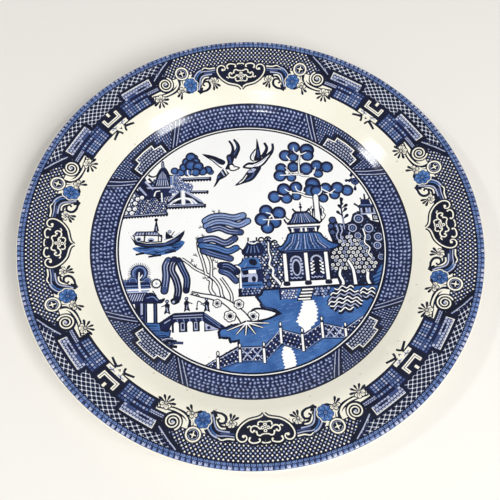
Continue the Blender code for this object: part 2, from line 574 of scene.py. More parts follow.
def leaf(length, width, tone=INK):
    """A leaf from the origin outwards along -Y, with its base pinched."""
    one = Sheet()
    one.fill(tone, smooth([(0.0, 0.0), (width * 0.26, -length * 0.40), (width * 0.50, -length * 0.80),
                           (0.0, -length), (-width * 0.50, -length * 0.80),
                           (-width * 0.26, -length * 0.40)], closed=True, steps=2))
    return one


def sprig(leaves, petals):
    """A spray of black leaves under open petals; each is (turn, length, width)."""
    spray = Sheet()
    for turn, length, width in petals:
        petal = Sheet()
        petal.add(leaf(length + 0.9, width + 0.9), placed(0.0, 0.4))
        petal.add(leaf(length, width, GLAZE), IN_PLACE)
        petal.line(INK, [(0.0, -length * 0.2), (0.0, -length * 0.75)], 0.3)
        spray.add(petal, placed(0.0, 0.0, turn))
    for turn, length, width in leaves:
        spray.add(leaf(length, width), placed(0.0, 0.0, turn))
    spray.rosette(0.0, 0.0, (INK, 1.05), (GLAZE, 0.6), (INK, 0.28), count=10)
    return spray


def wheel():
    """The round wheel flower."""
    disc = Sheet()
    disc.rosette(0.0, 0.0, (INK, 4.6), (GLAZE, 4.05), (INK, 3.15), count=28)
    disc.line(GLAZE, [(0.0, -1.9), (0.0, 1.9)], 0.55)
    disc.line(GLAZE, [(-1.6, 0.2), (1.6, 0.2)], 0.5)
    disc.dot(GLAZE, 0.0, 0.2, 0.75)
    disc.line(LILAC, arc(0.0, 0.0, 2.5, 20, 340, 20), 0.3)
    return disc


def spiral_scroll():
    """The scroll's eye: a spiral of two bare turns on black."""
    disc = Sheet()
    disc.dot(INK, 0.0, 0.0, 5.3, 28)
    turns = np.linspace(0.0, 4.4 * math.pi, 60)
    reach = 4.5 - 3.6 * turns / turns[-1]
    path = np.stack([reach * np.cos(turns + 2.2), reach * np.sin(turns + 2.2)], 1)
    disc.line(GLAZE, path, 0.85, 0.6)
    disc.dot(LILAC, 0.0, 0.0, 0.75)
    return disc


def round_flower():
    """The washed blue flower with seven lined petals."""
    flower = Sheet()
    lobes = 7
    for tone, size in ((GLAZE, 2.5), (NAVY, 2.0), (BLUE, 1.7)):
        for index in range(lobes):
            angle = math.tau * (index + 0.5) / lobes
            flower.dot(tone, 2.4 * math.cos(angle), 2.9 * math.sin(angle), size, 12)
    flower.dot(BLUE, 0.0, 0.0, 3.0, 14)
    for index in range(lobes):
        angle = math.tau * (index + 0.5) / lobes
        c = math.cos(angle)
        s = math.sin(angle)
        flower.line(NAVY, [(1.3 * c, 1.3 * s), (3.4 * c, 3.6 * s)], 0.42, 0.2)
        flower.dot(SKY, 3.1 * math.cos(angle + 0.3), 3.3 * math.sin(angle + 0.3), 0.62, 6)
    flower.rosette(0.0, 0.0, (NAVY, 1.25), (SKY, 0.8), (INK, 0.35), count=10)
    return flower


def lattice(sheet, base, line, left, right, bottom, top, step, width=0.28):
    """A brick lattice on a base tone inside a band of the plate."""
    sheet.fill(base, polar_box(left, right, bottom, top))
    rows = max(1, round((top - bottom) / step))
    tall = (top - bottom) / rows
    middle = (top + bottom) / 2.0
    degree = math.radians(1.0) * middle
    columns = max(1, round((right - left) * degree / (step * 1.15)))
    wide = (right - left) / columns
    for row in range(rows + 1):
        radius = bottom + tall * row
        sheet.fill(line, polar_box(left, right, radius - width / 2, radius + width / 2))
        if row == rows:
            continue
        for column in range(columns + 1):
            angle = left + wide * (column + 0.5 * (row % 2))
            if angle > right:
                continue
            reach = width / 2 / degree
            sheet.fill(line, polar(box(angle - reach, angle + reach, radius, radius + tall)))


def cells(sheet, left, right, radius, tall, pale, bright):
    """One row of pale upright cells, every third one brighter."""
    step = 0.98
    count = int((right - left) / step)
    margin = (right - left - count * step) / 2.0
    for column in range(count):
        angle = left + margin + step * (column + 0.5)
        tone = bright if column % 3 == 1 else pale
        bands(sheet, (tone, angle - 0.32, angle + 0.32, radius - tall / 2.0, radius + tall / 2.0))


def corner_panels(sheet):
    """The stepped black frame with its latticed panels and rows of cells."""
    bands(sheet, (INK, 27.2, 39.0, 113.0, 121.0), (INK, 30.2, 41.4, 104.2, 113.5),
          (INK, 31.0, 41.4, 110.0, 116.2), (INK, 26.4, 32.0, 109.4, 113.6),
          (NAVY, 31.2, 40.7, 105.2, 115.0))
    for left, radius, tall in ((31.4, 106.3, 1.1), (31.4, 107.9, 1.0), (31.4, 109.4, 1.0),
                               (31.2, 112.2, 1.1)):
        cells(sheet, left, 40.6, radius, tall, SKY, LILAC)
    cells(sheet, 36.4, 40.6, 114.0, 1.0, DUSK, SKY)
    bands(sheet, (DUSK, 36.6, 40.2, 110.3, 111.3))
    lattice(sheet, LILAC, NAVY, 28.4, 37.9, 114.6, 119.6, 1.62, 0.42)
    lattice(sheet, LILAC, NAVY, 27.2, 31.2, 110.6, 112.6, 1.20, 0.36)
    sheet.line(GLAZE, polar([(28.5, 115.0), (28.5, 119.4), (37.7, 119.4)]), 0.40)
    bands(sheet, (NAVY, 30.4, 33.0, 115.6, 116.9), (DUSK, 34.2, 37.0, 114.7, 116.2))


def corner_fret(sheet):
    """Half of the open bracket fret on the diagonal, with a line along its middle."""
    bands(sheet, (INK, 40.6, 45.3, 107.2, 116.4), (GLAZE, 42.1, 45.3, 109.3, 111.1),
          (GLAZE, 42.1, 43.1, 110.9, 114.2), (DUSK, 42.5, 45.3, 110.0, 110.4),
          (DUSK, 42.5, 42.7, 110.0, 113.6), (GLAZE, 44.6, 45.3, 113.6, 116.0))


def corner_sprig(sheet):
    """Half of the spray under the fret."""
    bands(sheet, (INK, 40.3, 45.3, 104.2, 107.4))
    sheet.fill(GLAZE, polar([(40.6, 107.4), (45.3, 107.4), (45.3, 103.0), (44.2, 103.6), (43.6, 104.9),
                             (41.2, 105.0)]))
    bands(sheet, (LILAC, 42.2, 44.4, 105.9, 106.7))
    rim_strokes(sheet,
                (INK, 0.45, None, [(42.8, 107.2), (43.6, 106.2), (43.4, 105.2)]),
                (INK, 1.5, 1.2, [(43.4, 103.6), (42.2, 102.9), (40.4, 101.8)]),
                (INK, 1.1, 1.3, [(43.0, 104.4), (43.8, 102.8), (44.2, 101.0)]),
                (INK, 0.5, None, [(44.6, 104.6), (45.3, 102.8)]))


def curl_scroll(sheet):
    """The acanthus scroll that leaves the medallion, with its curled black end."""
    rim_shape(sheet, INK, [(6.4, 113.6), (10.0, 115.6), (13.4, 115.0), (16.0, 111.8), (16.2, 105.0),
                           (14.9, 100.4), (13.6, 104.0), (12.2, 107.0), (9.0, 107.4), (6.4, 106.6)])
    rim_strokes(sheet,
                (GLAZE, 0.85, 0.6, [(8.0, 113.9), (9.8, 113.9), (11.2, 114.9), (12.2, 114.1)]),
                (LILAC, 0.55, None, [(7.8, 112.6), (10.0, 112.4), (12.2, 112.9), (13.6, 111.6)]),
                (DUSK, 0.75, None, [(7.6, 111.2), (9.6, 111.2), (11.8, 111.7)]),
                (LILAC, 0.95, 0.6, [(12.4, 114.0), (13.8, 113.0), (15.1, 110.6), (15.6, 108.6)]),
                (BLUE, 0.8, None, [(12.8, 112.8), (14.2, 110.6), (14.9, 107.6), (15.1, 104.0)]),
                (LILAC, 0.75, None, [(9.4, 110.3), (12.2, 110.2), (13.4, 108.4), (14.1, 105.2),
                                     (14.9, 102.4)]),
                (GLAZE, 0.8, None, [(10.6, 108.7), (11.9, 108.9), (12.9, 107.4), (13.4, 104.9)]))
    sheet.fill(GLAZE, on_rim(12.1, 103.8)(ellipse(0.0, 0.0, 2.6)))
    rim_strokes(sheet,
                (INK, 1.6, 1.0, [(10.7, 104.4), (11.1, 102.4), (12.3, 101.2), (13.6, 101.0),
                                 (15.0, 100.3)]),
                (INK, 1.35, 1.0, [(10.7, 104.2), (11.2, 106.0), (12.4, 106.4), (13.1, 105.0),
                                  (12.5, 103.9)]))
    rim_shape(sheet, INK, [(13.3, 103.2), (14.2, 103.0), (15.0, 100.9), (14.0, 100.6)])


def thick_diagonal(sheet):
    """The black bar from the scroll out to the band, with two lines beside it."""
    for tone, width, points in ((INK, 2.8, [(27.6, 115.0), (23.8, 120.1), (19.9, 125.2)]),
                                (LILAC, 0.60, [(27.2, 116.9), (24.0, 121.2), (21.2, 124.9)]),
                                (NAVY, 0.80, [(27.9, 117.7), (25.0, 121.5), (22.4, 124.9)])):
        sheet.line(tone, polar(points), width)


def acanthus(sheet):
    """The leafy edge under the wheel and the spiral."""
    rim_strokes(sheet,
                (INK, 3.2, 2.2, [(19.6, 112.0), (20.2, 109.4), (21.6, 107.2), (24.4, 106.0),
                                 (27.4, 106.4), (30.2, 107.8)]),
                (GLAZE, 1.0, None, [(20.7, 111.6), (21.0, 109.0), (22.4, 106.8), (25.0, 105.9),
                                    (27.8, 106.6), (30.0, 107.4)]),
                (GLAZE, 0.75, None, [(19.5, 110.6), (19.9, 108.4), (20.9, 106.8)]),
                (INK, 0.5, None, [(21.2, 106.0), (23.2, 104.9), (26.2, 104.8)]),
                (LILAC, 0.5, None, [(22.4, 109.0), (23.4, 107.8), (24.8, 107.4)]))


def half_border():
    """The whole border for 0 to 45 degrees."""
    sheet = Sheet()
    for draw in (rim_net, rim_trellis, thick_diagonal, corner_sprig, corner_panels, corner_fret,
                 rim_band, curl_scroll, acanthus):
        draw(sheet)
    for motif, angle, radius in (
            (round_flower(), 17.1, 106.4), (wheel(), 18.5, 115.0), (spiral_scroll(), 24.6, 112.0),
            (sprig([(-52, 4.9, 1.5), (-22, 4.6, 1.4), (8, 4.8, 1.5)],
                   [(-110, 3.0, 1.9), (-150, 3.2, 1.9), (170, 3.2, 1.9), (130, 3.0, 1.8)]), 9.4, 105.0),
            (sprig([(-62, 5.2, 1.5), (30, 5.0, 1.5), (62, 4.8, 1.5)],
                   [(-110, 2.9, 1.7), (110, 2.8, 1.7), (180, 2.6, 1.7)]), 20.4, 104.4),
            (sprig([(-74, 5.2, 1.5), (-36, 4.8, 1.4), (2, 4.6, 1.3), (40, 5.0, 1.4), (76, 5.4, 1.5)],
                   [(-115, 3.2, 1.9), (-155, 3.4, 2.0), (155, 3.4, 2.0), (115, 3.2, 1.9)]), 28.4, 104.4),
            (medallion(), 0.0, 108.0)):
        sheet.add(motif, on_rim(angle, radius))
    return sheet


def quarter_border():
    """A quarter of the border about +Y, from the half and its mirror image."""
    half = half_border()
    sheet = Sheet()
    sheet.add(half, IN_PLACE, placed(0.0, 0.0, flip=True))
    return sheet


# --------------------------------------------------------------------------
# The ring border round the well
# --------------------------------------------------------------------------
def ring_pebbles(sheet):
    """Rows of uneven oval pebbles on near black."""
    rng = random.Random(7)
    rows = 6
    pitch = 2.40
    inner_margin = 0.8
    outer_margin = 0.9
    panel_reach = 12.6
    row_step = (RING_OUTER - outer_margin - RING_INNER - inner_margin) / rows
    for row in range(rows):
        radius = RING_INNER + inner_margin + row_step * (row + 0.5)
        count = round(math.tau * radius / pitch)
        for index in range(count):
            angle = 360.0 * (index + 0.5 * (row % 2)) / count + rng.uniform(-0.28, 0.28)
            size = rng.uniform(0.92, 1.12)
            slim = rng.uniform(0.62, 0.86)
            turn = rng.uniform(-75.0, 75.0)
            place = on_rim(angle, radius + rng.uniform(-0.22, 0.22))
            if abs((angle % 90.0) - HALF_QUARTER) < panel_reach:
                continue
            pebble = Sheet()
            pebble.fill(DUSK, ellipse(0.0, 0.0, size * 1.10, size * 1.12 * slim, turn, 8))
            pebble.fill(LILAC, ellipse(0.1, 0.1, size * 0.66, size * 0.60 * slim, turn, 6))
            sheet.add(pebble, place)


def ring_wedge(sheet, sign):
    """The dark wedge of small pale cells beside a corner panel, bounded by slanting lines."""
    def at(angle, radius):
        return (sign * angle, radius)
    sheet.fill(NAVY, polar([at(0.0, RING_INNER), at(12.2, RING_INNER), at(16.2, 84.6),
                            at(20.6, RING_OUTER), at(13.0, RING_OUTER), at(0.0, RING_OUTER)]))
    column_step = 0.96
    for row in range(9):
        radius = RING_INNER + 1.3 + 1.42 * row
        edge = 10.0 + (radius - RING_INNER) * 0.56
        start = 9.2 if radius < 85.4 else 6.4
        if radius > 88.6:
            start = 0.0
        for column in range(int((edge - start) / column_step)):
            angle = start + column_step * (column + 0.5)
            tone = (LILAC, SKY)[(row + column) % 2]
            sheet.fill(tone, polar([at(angle - 0.20, radius - 0.42), at(angle + 0.20, radius - 0.42),
                                    at(angle + 0.28, radius + 0.42), at(angle - 0.12, radius + 0.42)]))
    for start, end, width, tone in ((10.0, 17.6, 0.8, INK), (10.7, 18.3, 0.50, LILAC),
                                    (11.6, 19.2, 1.2, NAVY), (12.5, 20.1, 0.45, LILAC),
                                    (13.1, 20.7, 0.6, INK)):
        sheet.line(tone, polar([at(start, RING_INNER), at(end, RING_OUTER)]), width)


def ring_panel(sheet):
    """The stepped panel at a corner, about 0 degrees."""
    bands(sheet, (INK, -9.4, 9.4, RING_INNER, 85.3), (INK, -5.9, 5.9, 84.0, 88.8))
    lattice(sheet, LILAC, INK, -7.5, 7.5, 78.8, 83.7, 1.70, 0.72)
    lattice(sheet, LILAC, INK, -4.3, 4.3, 83.7, 86.6, 1.50, 0.66)
    sheet.line(GLAZE, polar([(-7.5, 78.9), (-7.5, 83.8), (-4.3, 84.2), (-4.3, 86.8), (0.0, 86.9),
                             (4.3, 86.8), (4.3, 84.2), (7.5, 83.8), (7.5, 78.9)]), 0.62)


def ring_border(sheet):
    """The dark ring: pebbles, and a stepped panel between two wedges at each corner."""
    sheet.fill(NAVY, polar_box(0.0, 360.0, RING_INNER, RING_OUTER))
    ring_pebbles(sheet)
    corner = Sheet()
    ring_wedge(corner, 1.0)
    ring_wedge(corner, -1.0)
    ring_panel(corner)
    turns = [placed(0.0, 0.0, HALF_QUARTER + 90.0 * index) for index in range(4)]
    sheet.add(corner, *turns)
    for radius, width in ((RING_OUTER - 0.3, 0.75), (RING_INNER + 0.20, 1.20), (WELL_EDGE - 0.45, 1.00)):
        sheet.line(INK, ellipse(0.0, 0.0, radius, count=CIRCLE_POINTS), width, closed=True)


# --------------------------------------------------------------------------
# The centre scene, drawn from far to near
# --------------------------------------------------------------------------
ROW_PITCH = 0.87               # row step of a staggered grid, in column steps
BEAD = 1.7                     # spacing of the knobs under a bar of shore


def scattered(outline, spacing, seed, jitter=0.25):
    """Points on a shaken grid inside an outline."""
    rng = random.Random(seed)
    outline = np.asarray(outline, float)
    low = outline.min(0)
    high = outline.max(0)
    points = []
    for row in range(int((high[1] - low[1]) / (spacing * ROW_PITCH)) + 1):
        for column in range(int((high[0] - low[0]) / spacing) + 2):
            points.append((low[0] + spacing * (column + 0.5 * (row % 2)) + rng.uniform(-jitter, jitter),
                           low[1] + spacing * ROW_PITCH * row + rng.uniform(-jitter, jitter)))
    points = np.array(points)
    return points[in_region(points, outline)]


def dotted(sheet, base, outline, spacing, radius, tones, seed):
    """Dark foliage or brick: an area strewn with small pale marks."""
    sheet.fill(base, outline)
    for index, (x, y) in enumerate(scattered(outline, spacing, seed)):
        sheet.dot(tones[index % len(tones)], x, y, radius * (1.0, 0.8, 1.2)[index % 3], 5)


def beside(path, offset):
    """A path shifted to its left by offset."""
    return ribbon(path, 2.0 * offset)[:len(path)]


def bough(sheet, path, width, tip=None, edge=0.62):
    """A bare branch with a black edge."""
    curve = smooth(path)
    tip = width if tip is None else tip
    sheet.line(INK, curve, width + 2.0 * edge, tip + 2.0 * edge)
    sheet.line(GLAZE, curve, width, tip)


def lobes(sheet, circles):
    """Round clumps of leaves: a black edge, a dark rim and a washed middle."""
    layers = ((INK, 1.08, 0.0), (NAVY, 0.90, 0.0), (DUSK, 0.74, 0.06), (BLUE, 0.58, 0.08))
    for x, y, radius in circles:
        for tone, reach, drop in layers:
            sheet.dot(tone, x, y - drop * radius, reach * radius, 20)
        sheet.line(SKY, arc(x, y - 0.10 * radius, 0.32 * radius, 30, 160, 6), 0.13 * radius, 0.05)


def beaded_bar(sheet, start, end, height):
    """A dark bar of shore with knobs along its foot and a pale streak."""
    sheet.line(INK, [start, end], height)
    count = round((end[0] - start[0]) / BEAD)
    for index in range(count):
        along = (index + 0.5) / count
        x = start[0] + (end[0] - start[0]) * along
        y = start[1] + (end[1] - start[1]) * along
        sheet.dot(INK, x, y - height * 0.5, BEAD * 0.40)
    sheet.line(LILAC, [(start[0] + 1.0, start[1] + height * 0.18),
                       (end[0] - 1.2, end[1] + height * 0.18)], height * 0.22)


def cloud_tree(sheet):
    """The flat-layered tree on the far island, over its two bars of shore."""
    lobes(sheet, [(-43.2, 49.6, 2.3), (-39.4, 48.4, 2.6), (-37.4, 51.8, 2.8), (-21.6, 47.8, 1.9),
                  (-23.2, 49.4, 2.6), (-26.4, 48.6, 2.8), (-30.8, 58.2, 2.0), (-35.6, 55.4, 2.9),
                  (-33.2, 58.6, 3.1), (-30.6, 55.0, 3.0), (-33.2, 52.8, 3.8), (-29.0, 52.0, 3.2),
                  (-35.2, 48.2, 2.6), (-30.6, 48.2, 2.8)])
    sheet.curve(GLAZE, [(-35.4, 49.8), (-35.4, 47.4), (-34.2, 45.6)], 0.7)
    sheet.line(LILAC, [(-32.6, 49.6), (-33.0, 47.2)], 0.45)
    beaded_bar(sheet, (-38.8, 43.4), (-21.4, 43.4), 2.3)
    beaded_bar(sheet, (-35.0, 35.0), (-23.4, 34.6), 1.8)


def tower(sheet):
    """The bell-roofed tower with its two raised eaves."""
    sheet.fill(NAVY, [(-66.0, 40.0), (-61.0, 46.5), (-59.5, 42.5), (-46.0, 41.0), (-45.0, 33.0),
                      (-62.0, 31.0)])
    sheet.fill(SKY, [(-57.0, 40.0), (-55.0, 44.0), (-47.0, 46.0), (-44.5, 46.0), (-44.5, 40.0)])
    bell = smooth([(-55.4, 40.0), (-54.0, 45.4), (-53.2, 48.4), (-51.0, 51.8), (-49.0, 51.8),
                   (-47.2, 48.8), (-46.4, 45.0), (-46.4, 40.0)])
    sheet.edged(INK, NAVY, bell, 0.8)
    for step in range(6):
        x = -54.3 + 1.42 * step
        sheet.line(LILAC, [(x, 40.0), (x * 0.45 - 27.6, 50.0 - abs(step - 2.5))], 0.62, 0.30)
    sheet.line(DUSK, [(-56.0, 44.2), (-46.5, 44.2)], 0.7)
    sheet.fill(NAVY, [(-51.1, 51.5), (-51.2, 55.0), (-50.6, 56.8), (-49.6, 56.6), (-49.2, 54.0),
                      (-49.0, 51.5)])
    sheet.line(LILAC, [(-50.1, 52.2), (-50.2, 55.4)], 0.45)
    sheet.curve(INK, [(-58.9, 47.7), (-57.4, 46.4), (-55.4, 46.2), (-53.4, 47.4)], 1.3, 0.8)
    sheet.curve(INK, [(-47.2, 47.3), (-45.4, 46.5), (-43.2, 46.9)], 1.0, 0.7)
    sheet.curve(INK, [(-61.8, 45.0), (-60.2, 42.2), (-57.4, 41.8), (-55.2, 43.8)], 0.9, 0.8)
    sheet.line(LILAC, [(-61.0, 38.8), (-46.0, 38.6)], 1.0)
    sheet.line(INK, [(-60.4, 37.9), (-49.0, 38.0)], 0.5)
    for step in range(5):
        x = -66.4 + 1.9 * step
        y = 37.6 + 1.9 * step
        tone = (INK, LILAC)[step % 2]
        sheet.line(tone, [(x, y), (x + 4.4, y - 5.6)], 1.5, 1.0)


def far_island(sheet):
    """The far shore: a woven hill, the flat-layered tree, the tower, bushes and cobbles."""
    hill = [(-75.5, 21.0), (-72.0, 30.0), (-68.0, 36.5), (-63.0, 38.0), (-46.0, 36.0), (-44.0, 31.0),
            (-49.0, 27.0), (-48.0, 21.5)]
    dotted(sheet, NAVY, hill, 1.35, 0.42, (LILAC, SKY, LILAC, GLAZE), 3)
    cloud_tree(sheet)
    tower(sheet)
    leafage = smooth([(-47.0, 35.0), (-44.4, 40.0), (-44.0, 46.0), (-41.6, 47.6), (-39.0, 44.0),
                      (-37.0, 41.0), (-34.0, 41.0), (-32.4, 38.0), (-34.4, 35.2), (-40.0, 34.6)], True)
    dotted(sheet, DUSK, leafage, 1.30, 0.46, (LILAC, GLAZE, LILAC, SKY), 4)
    sheet.line(INK, [(-43.8, 41.0), (-39.6, 40.8)], 0.4)
    for x, y in ((-68.0, 34.3), (-69.2, 31.2), (-65.4, 31.8), (-66.8, 29.0), (-71.0, 28.4),
                 (-70.4, 25.4), (-67.0, 25.4), (-72.4, 23.0), (-68.8, 22.8), (-62.8, 32.6)):
        sheet.rosette(x, y, (INK, 1.65), (GLAZE, 1.25), count=9)
        sheet.dot(LILAC, x + 0.2, y - 0.3, 0.5, 6)
    beaded_bar(sheet, (-76.0, 20.5), (-47.6, 21.2), 1.9)
    sheet.curve(INK, [(-53.0, 35.4), (-53.4, 33.0), (-52.6, 29.6)], 1.9, 1.3)
    sheet.curve(GLAZE, [(-55.6, 33.0), (-54.6, 36.0), (-52.0, 36.6)], 0.9, 0.5)
    sheet.line(GLAZE, [(-51.2, 35.2), (-51.0, 29.0)], 0.8)


def hut(sheet):
    """The thatched hut on the far shore."""
    sheet.fill(LILAC, [(-39.0, 37.0), (-48.6, 28.6), (-48.6, 26.0), (-27.0, 26.0), (-26.8, 28.0)])
    dotted(sheet, INK, [(-48.6, 26.6), (-48.4, 29.4), (-43.0, 34.2), (-40.4, 36.6), (-40.0, 31.6),
                        (-43.0, 30.6)], 1.6, 0.45, (DUSK, LILAC), 17)
    sheet.fill(INK, [(-40.0, 35.6), (-40.0, 31.6), (-43.0, 30.6), (-48.4, 26.8), (-48.2, 29.0)])
    sheet.fill(INK, [(-37.4, 34.8), (-37.2, 31.6), (-33.0, 30.6), (-29.6, 27.0), (-26.0, 26.6)])
    sheet.line(LILAC, [(-41.0, 35.6), (-47.4, 29.4)], 0.9)
    sheet.line(LILAC, [(-36.2, 35.0), (-28.0, 28.4)], 1.3)
    sheet.line(GLAZE, arc(-38.6, 25.6, 5.6, 12, 168, 12), 0.9)
    sheet.line(GLAZE, arc(-38.6, 25.4, 8.0, 15, 165, 12, 0.72), 0.7)
    sheet.fill(INK, [(-45.8, 27.4), (-42.0, 29.6), (-39.8, 30.2), (-39.8, 27.4)])
    sheet.fill(INK, [(-37.2, 30.0), (-37.2, 27.4), (-33.8, 27.4), (-35.0, 29.2)])
    sheet.line(GLAZE, [(-38.5, 36.0), (-38.5, 26.6)], 1.8)
    beaded_bar(sheet, (-49.0, 25.6), (-25.2, 25.6), 2.1)


def boat(sheet):
    """The cabin boat and its ripples."""
    water = [(-68.0, 0.6), (-60.0, 1.5), (-45.0, 3.5), (-39.6, 3.6), (-38.6, 1.8), (-43.0, -2.6),
             (-52.0, -4.8), (-60.0, -4.0), (-66.4, -1.6)]
    sheet.blob(BLUE, water)
    for left, right, y in ((-66.6, -61.6, -3.3), (-59.4, -52.0, -5.0), (-50.0, -43.6, -2.9)):
        sheet.line(INK, [(left, y - 0.5), ((left + right) / 2, y), (right, y + 0.3)], 1.2, 1.4)
    for y, left, right, tone in ((0.2, -65.0, -57.0, NAVY), (-0.6, -55.6, -46.0, SKY),
                                 (1.4, -50.0, -41.0, NAVY), (-1.8, -63.6, -56.6, SKY),
                                 (-2.4, -56.0, -49.0, NAVY), (-3.6, -60.0, -53.4, INK),
                                 (0.0, -45.6, -40.2, INK), (-1.4, -48.8, -43.4, NAVY)):
        sheet.curve(tone, [(left, y), ((left + right) / 2, y - 0.5), (right, y + 0.6)], 0.8, 0.4)
    hull = [(-69.8, 8.2), (-67.2, 5.0), (-60.0, 2.8), (-50.0, 2.9), (-44.5, 5.6), (-38.2, 10.2),
            (-38.6, 7.6), (-41.0, 3.4), (-46.0, 1.0), (-52.0, 0.0), (-61.0, 0.2), (-66.8, 2.2)]
    sheet.fill(INK, hull)
    sheet.fill(DUSK, [(-65.6, 2.8), (-60.0, 1.2), (-50.0, 1.2), (-44.6, 2.8), (-41.6, 5.6),
                      (-45.2, 4.4), (-50.0, 2.2), (-60.0, 2.0)])
    sheet.line(LILAC, [(-50.4, 4.6), (-45.4, 6.2), (-40.8, 9.0)], 0.7, 0.4)
    sheet.edged(INK, GLAZE, [(-67.6, 8.4), (-67.0, 5.4), (-60.0, 3.5), (-51.8, 3.6), (-51.6, 7.6)], 0.8)
    sheet.edged(INK, LILAC, [(-68.4, 8.0), (-66.0, 10.4), (-54.4, 10.0), (-50.6, 5.8), (-52.8, 7.4),
                             (-61.4, 8.2)], 0.8)
    for step in range(8):
        sheet.line(NAVY, [(-66.0 + 1.6 * step, 9.9), (-66.8 + 1.7 * step, 8.4)], 0.6)
    sheet.line(INK, [(-61.0, 10.0), (-61.8, 3.6)], 0.9)
    sheet.rosette(-64.8, 5.6, (LILAC, 1.6), (INK, 1.05), count=10)
    sheet.fill(LILAC, ellipse(-57.8, 4.8, 2.0, 1.5))
    sheet.fill(INK, ellipse(-57.8, 4.4, 1.4, 0.8))
    sheet.line(INK, [(-53.4, 9.0), (-53.6, 3.8)], 0.6)
    sheet.fill(INK, [(-56.2, 10.2), (-55.0, 16.6), (-54.2, 16.6), (-53.0, 10.2)])
    sheet.dot(INK, -54.6, 17.6, 1.1, 10)
    sheet.line(LILAC, [(-54.6, 10.6), (-54.6, 13.4)], 0.5)
    sheet.blob(INK, [(-49.2, 5.2), (-49.0, 9.8), (-47.6, 8.4), (-44.8, 6.0), (-45.6, 5.6)])
    sheet.rosette(-47.0, 9.6, (NAVY, 1.15), (LILAC, 0.75), count=9)
    sheet.line(INK, [(-46.0, 7.0), (-44.2, 9.8)], 0.7, 0.4)


def left_bird(sheet):
    """The bird that flies in from the left, with two long tail feathers."""
    sheet.curve(INK, [(-9.6, 69.0), (-8.0, 66.2), (-7.4, 62.6), (-8.6, 58.0)], 1.3, 2.2)
    sheet.curve(INK, [(-6.6, 69.9), (-4.6, 66.4), (-4.4, 62.8), (-7.6, 57.0)], 1.3, 4.0)
    sheet.curve(DUSK, [(-5.6, 67.8), (-4.8, 65.6), (-5.0, 62.8), (-7.4, 58.4)], 0.3, 0.9)
    sheet.blob(INK, [(-11.8, 57.4), (-10.6, 59.4), (-7.4, 59.6), (-7.0, 56.2), (-7.9, 53.4),
                     (-7.4, 51.8), (-10.2, 49.2), (-12.8, 49.4), (-11.2, 53.4)])
    sheet.curve(DUSK, [(-10.2, 57.6), (-9.4, 54.4), (-9.8, 51.4)], 1.6, 0.9)
    sheet.edged(INK, GLAZE, smooth([(-10.4, 51.6), (-8.6, 52.4), (-6.8, 51.0), (-4.2, 49.8),
                                    (-7.2, 48.2), (-9.8, 48.6)], True), 0.85)
    sheet.dot(INK, -7.4, 50.4, 0.3, 6)
    sheet.blob(INK, [(-26.4, 60.3), (-21.0, 59.4), (-16.2, 57.2), (-12.6, 54.8),
                     (-13.2, 52.6), (-15.4, 52.6), (-19.8, 56.0)])
    sheet.curve(INK, [(-25.6, 59.8), (-20.2, 55.4), (-16.2, 51.2), (-14.6, 50.2)], 0.7)
    sheet.line(LILAC, [(-19.6, 56.0), (-16.4, 52.8)], 0.4)
    wing = [(-20.6, 37.2), (-18.8, 41.0), (-17.8, 45.2), (-15.4, 48.4), (-13.6, 50.2), (-10.4, 46.4),
            (-12.6, 44.0), (-16.4, 42.0), (-19.0, 38.2)]
    sheet.fill(INK, wing)
    sheet.line(LILAC, [(-15.2, 48.2), (-13.4, 44.6)], 1.0, 0.6)
    sheet.line(GLAZE, [(-13.6, 49.8), (-11.8, 45.8)], 1.0, 0.6)
    sheet.line(DUSK, [(-17.8, 43.4), (-16.0, 45.0)], 1.2, 0.8)


def right_bird(sheet):
    """The bird that comes to meet it, one wing raised."""
    sheet.curve(INK, [(12.0, 66.6), (13.2, 62.2), (10.0, 56.4)], 1.5, 2.6)
    sheet.curve(INK, [(17.0, 65.8), (16.6, 61.0), (12.6, 57.0)], 1.4, 2.2)
    body = smooth([(-1.6, 50.2), (1.4, 52.6), (5.0, 52.6), (9.4, 54.8), (16.6, 60.4), (13.6, 55.6),
                   (10.6, 51.8), (7.0, 49.6), (2.6, 49.2)], True)
    sheet.edged(INK, GLAZE, body, 1.2)
    sheet.curve(INK, [(-1.6, 50.3), (1.0, 52.0), (4.4, 51.8)], 1.1, 0.7)
    sheet.curve(LILAC, [(4.6, 50.8), (9.6, 53.4), (12.6, 56.0)], 0.5)
    sheet.blob(INK, [(7.6, 69.8), (8.7, 63.6), (9.3, 58.4), (9.6, 55.0), (5.4, 54.0),
                     (5.0, 56.0), (6.2, 59.6), (6.8, 64.4)])
    sheet.line(DUSK, [(7.7, 62.0), (7.6, 56.4)], 1.1, 1.4)
    sheet.curve(INK, [(6.4, 62.4), (3.4, 58.4), (3.0, 55.4), (4.8, 53.8)], 0.85)
    sheet.line(LILAC, [(5.4, 60.2), (4.3, 56.4)], 0.4)
    sheet.blob(INK, [(-7.6, 37.8), (-1.6, 39.2), (3.2, 41.0), (6.6, 45.0), (9.0, 49.8),
                     (4.0, 50.0), (0.4, 47.2), (-3.0, 42.4)])
    sheet.blob(LILAC, [(0.6, 46.4), (3.0, 48.8), (5.8, 48.4), (3.8, 46.4)])
    sheet.curve(DUSK, [(4.6, 46.4), (2.8, 43.2), (-0.4, 41.2)], 1.2, 0.7)
    sheet.curve(GLAZE, [(-4.8, 39.4), (-2.4, 41.2), (0.0, 44.6)], 0.6)
    sheet.dot(INK, 2.8, 47.8, 0.5, 6)


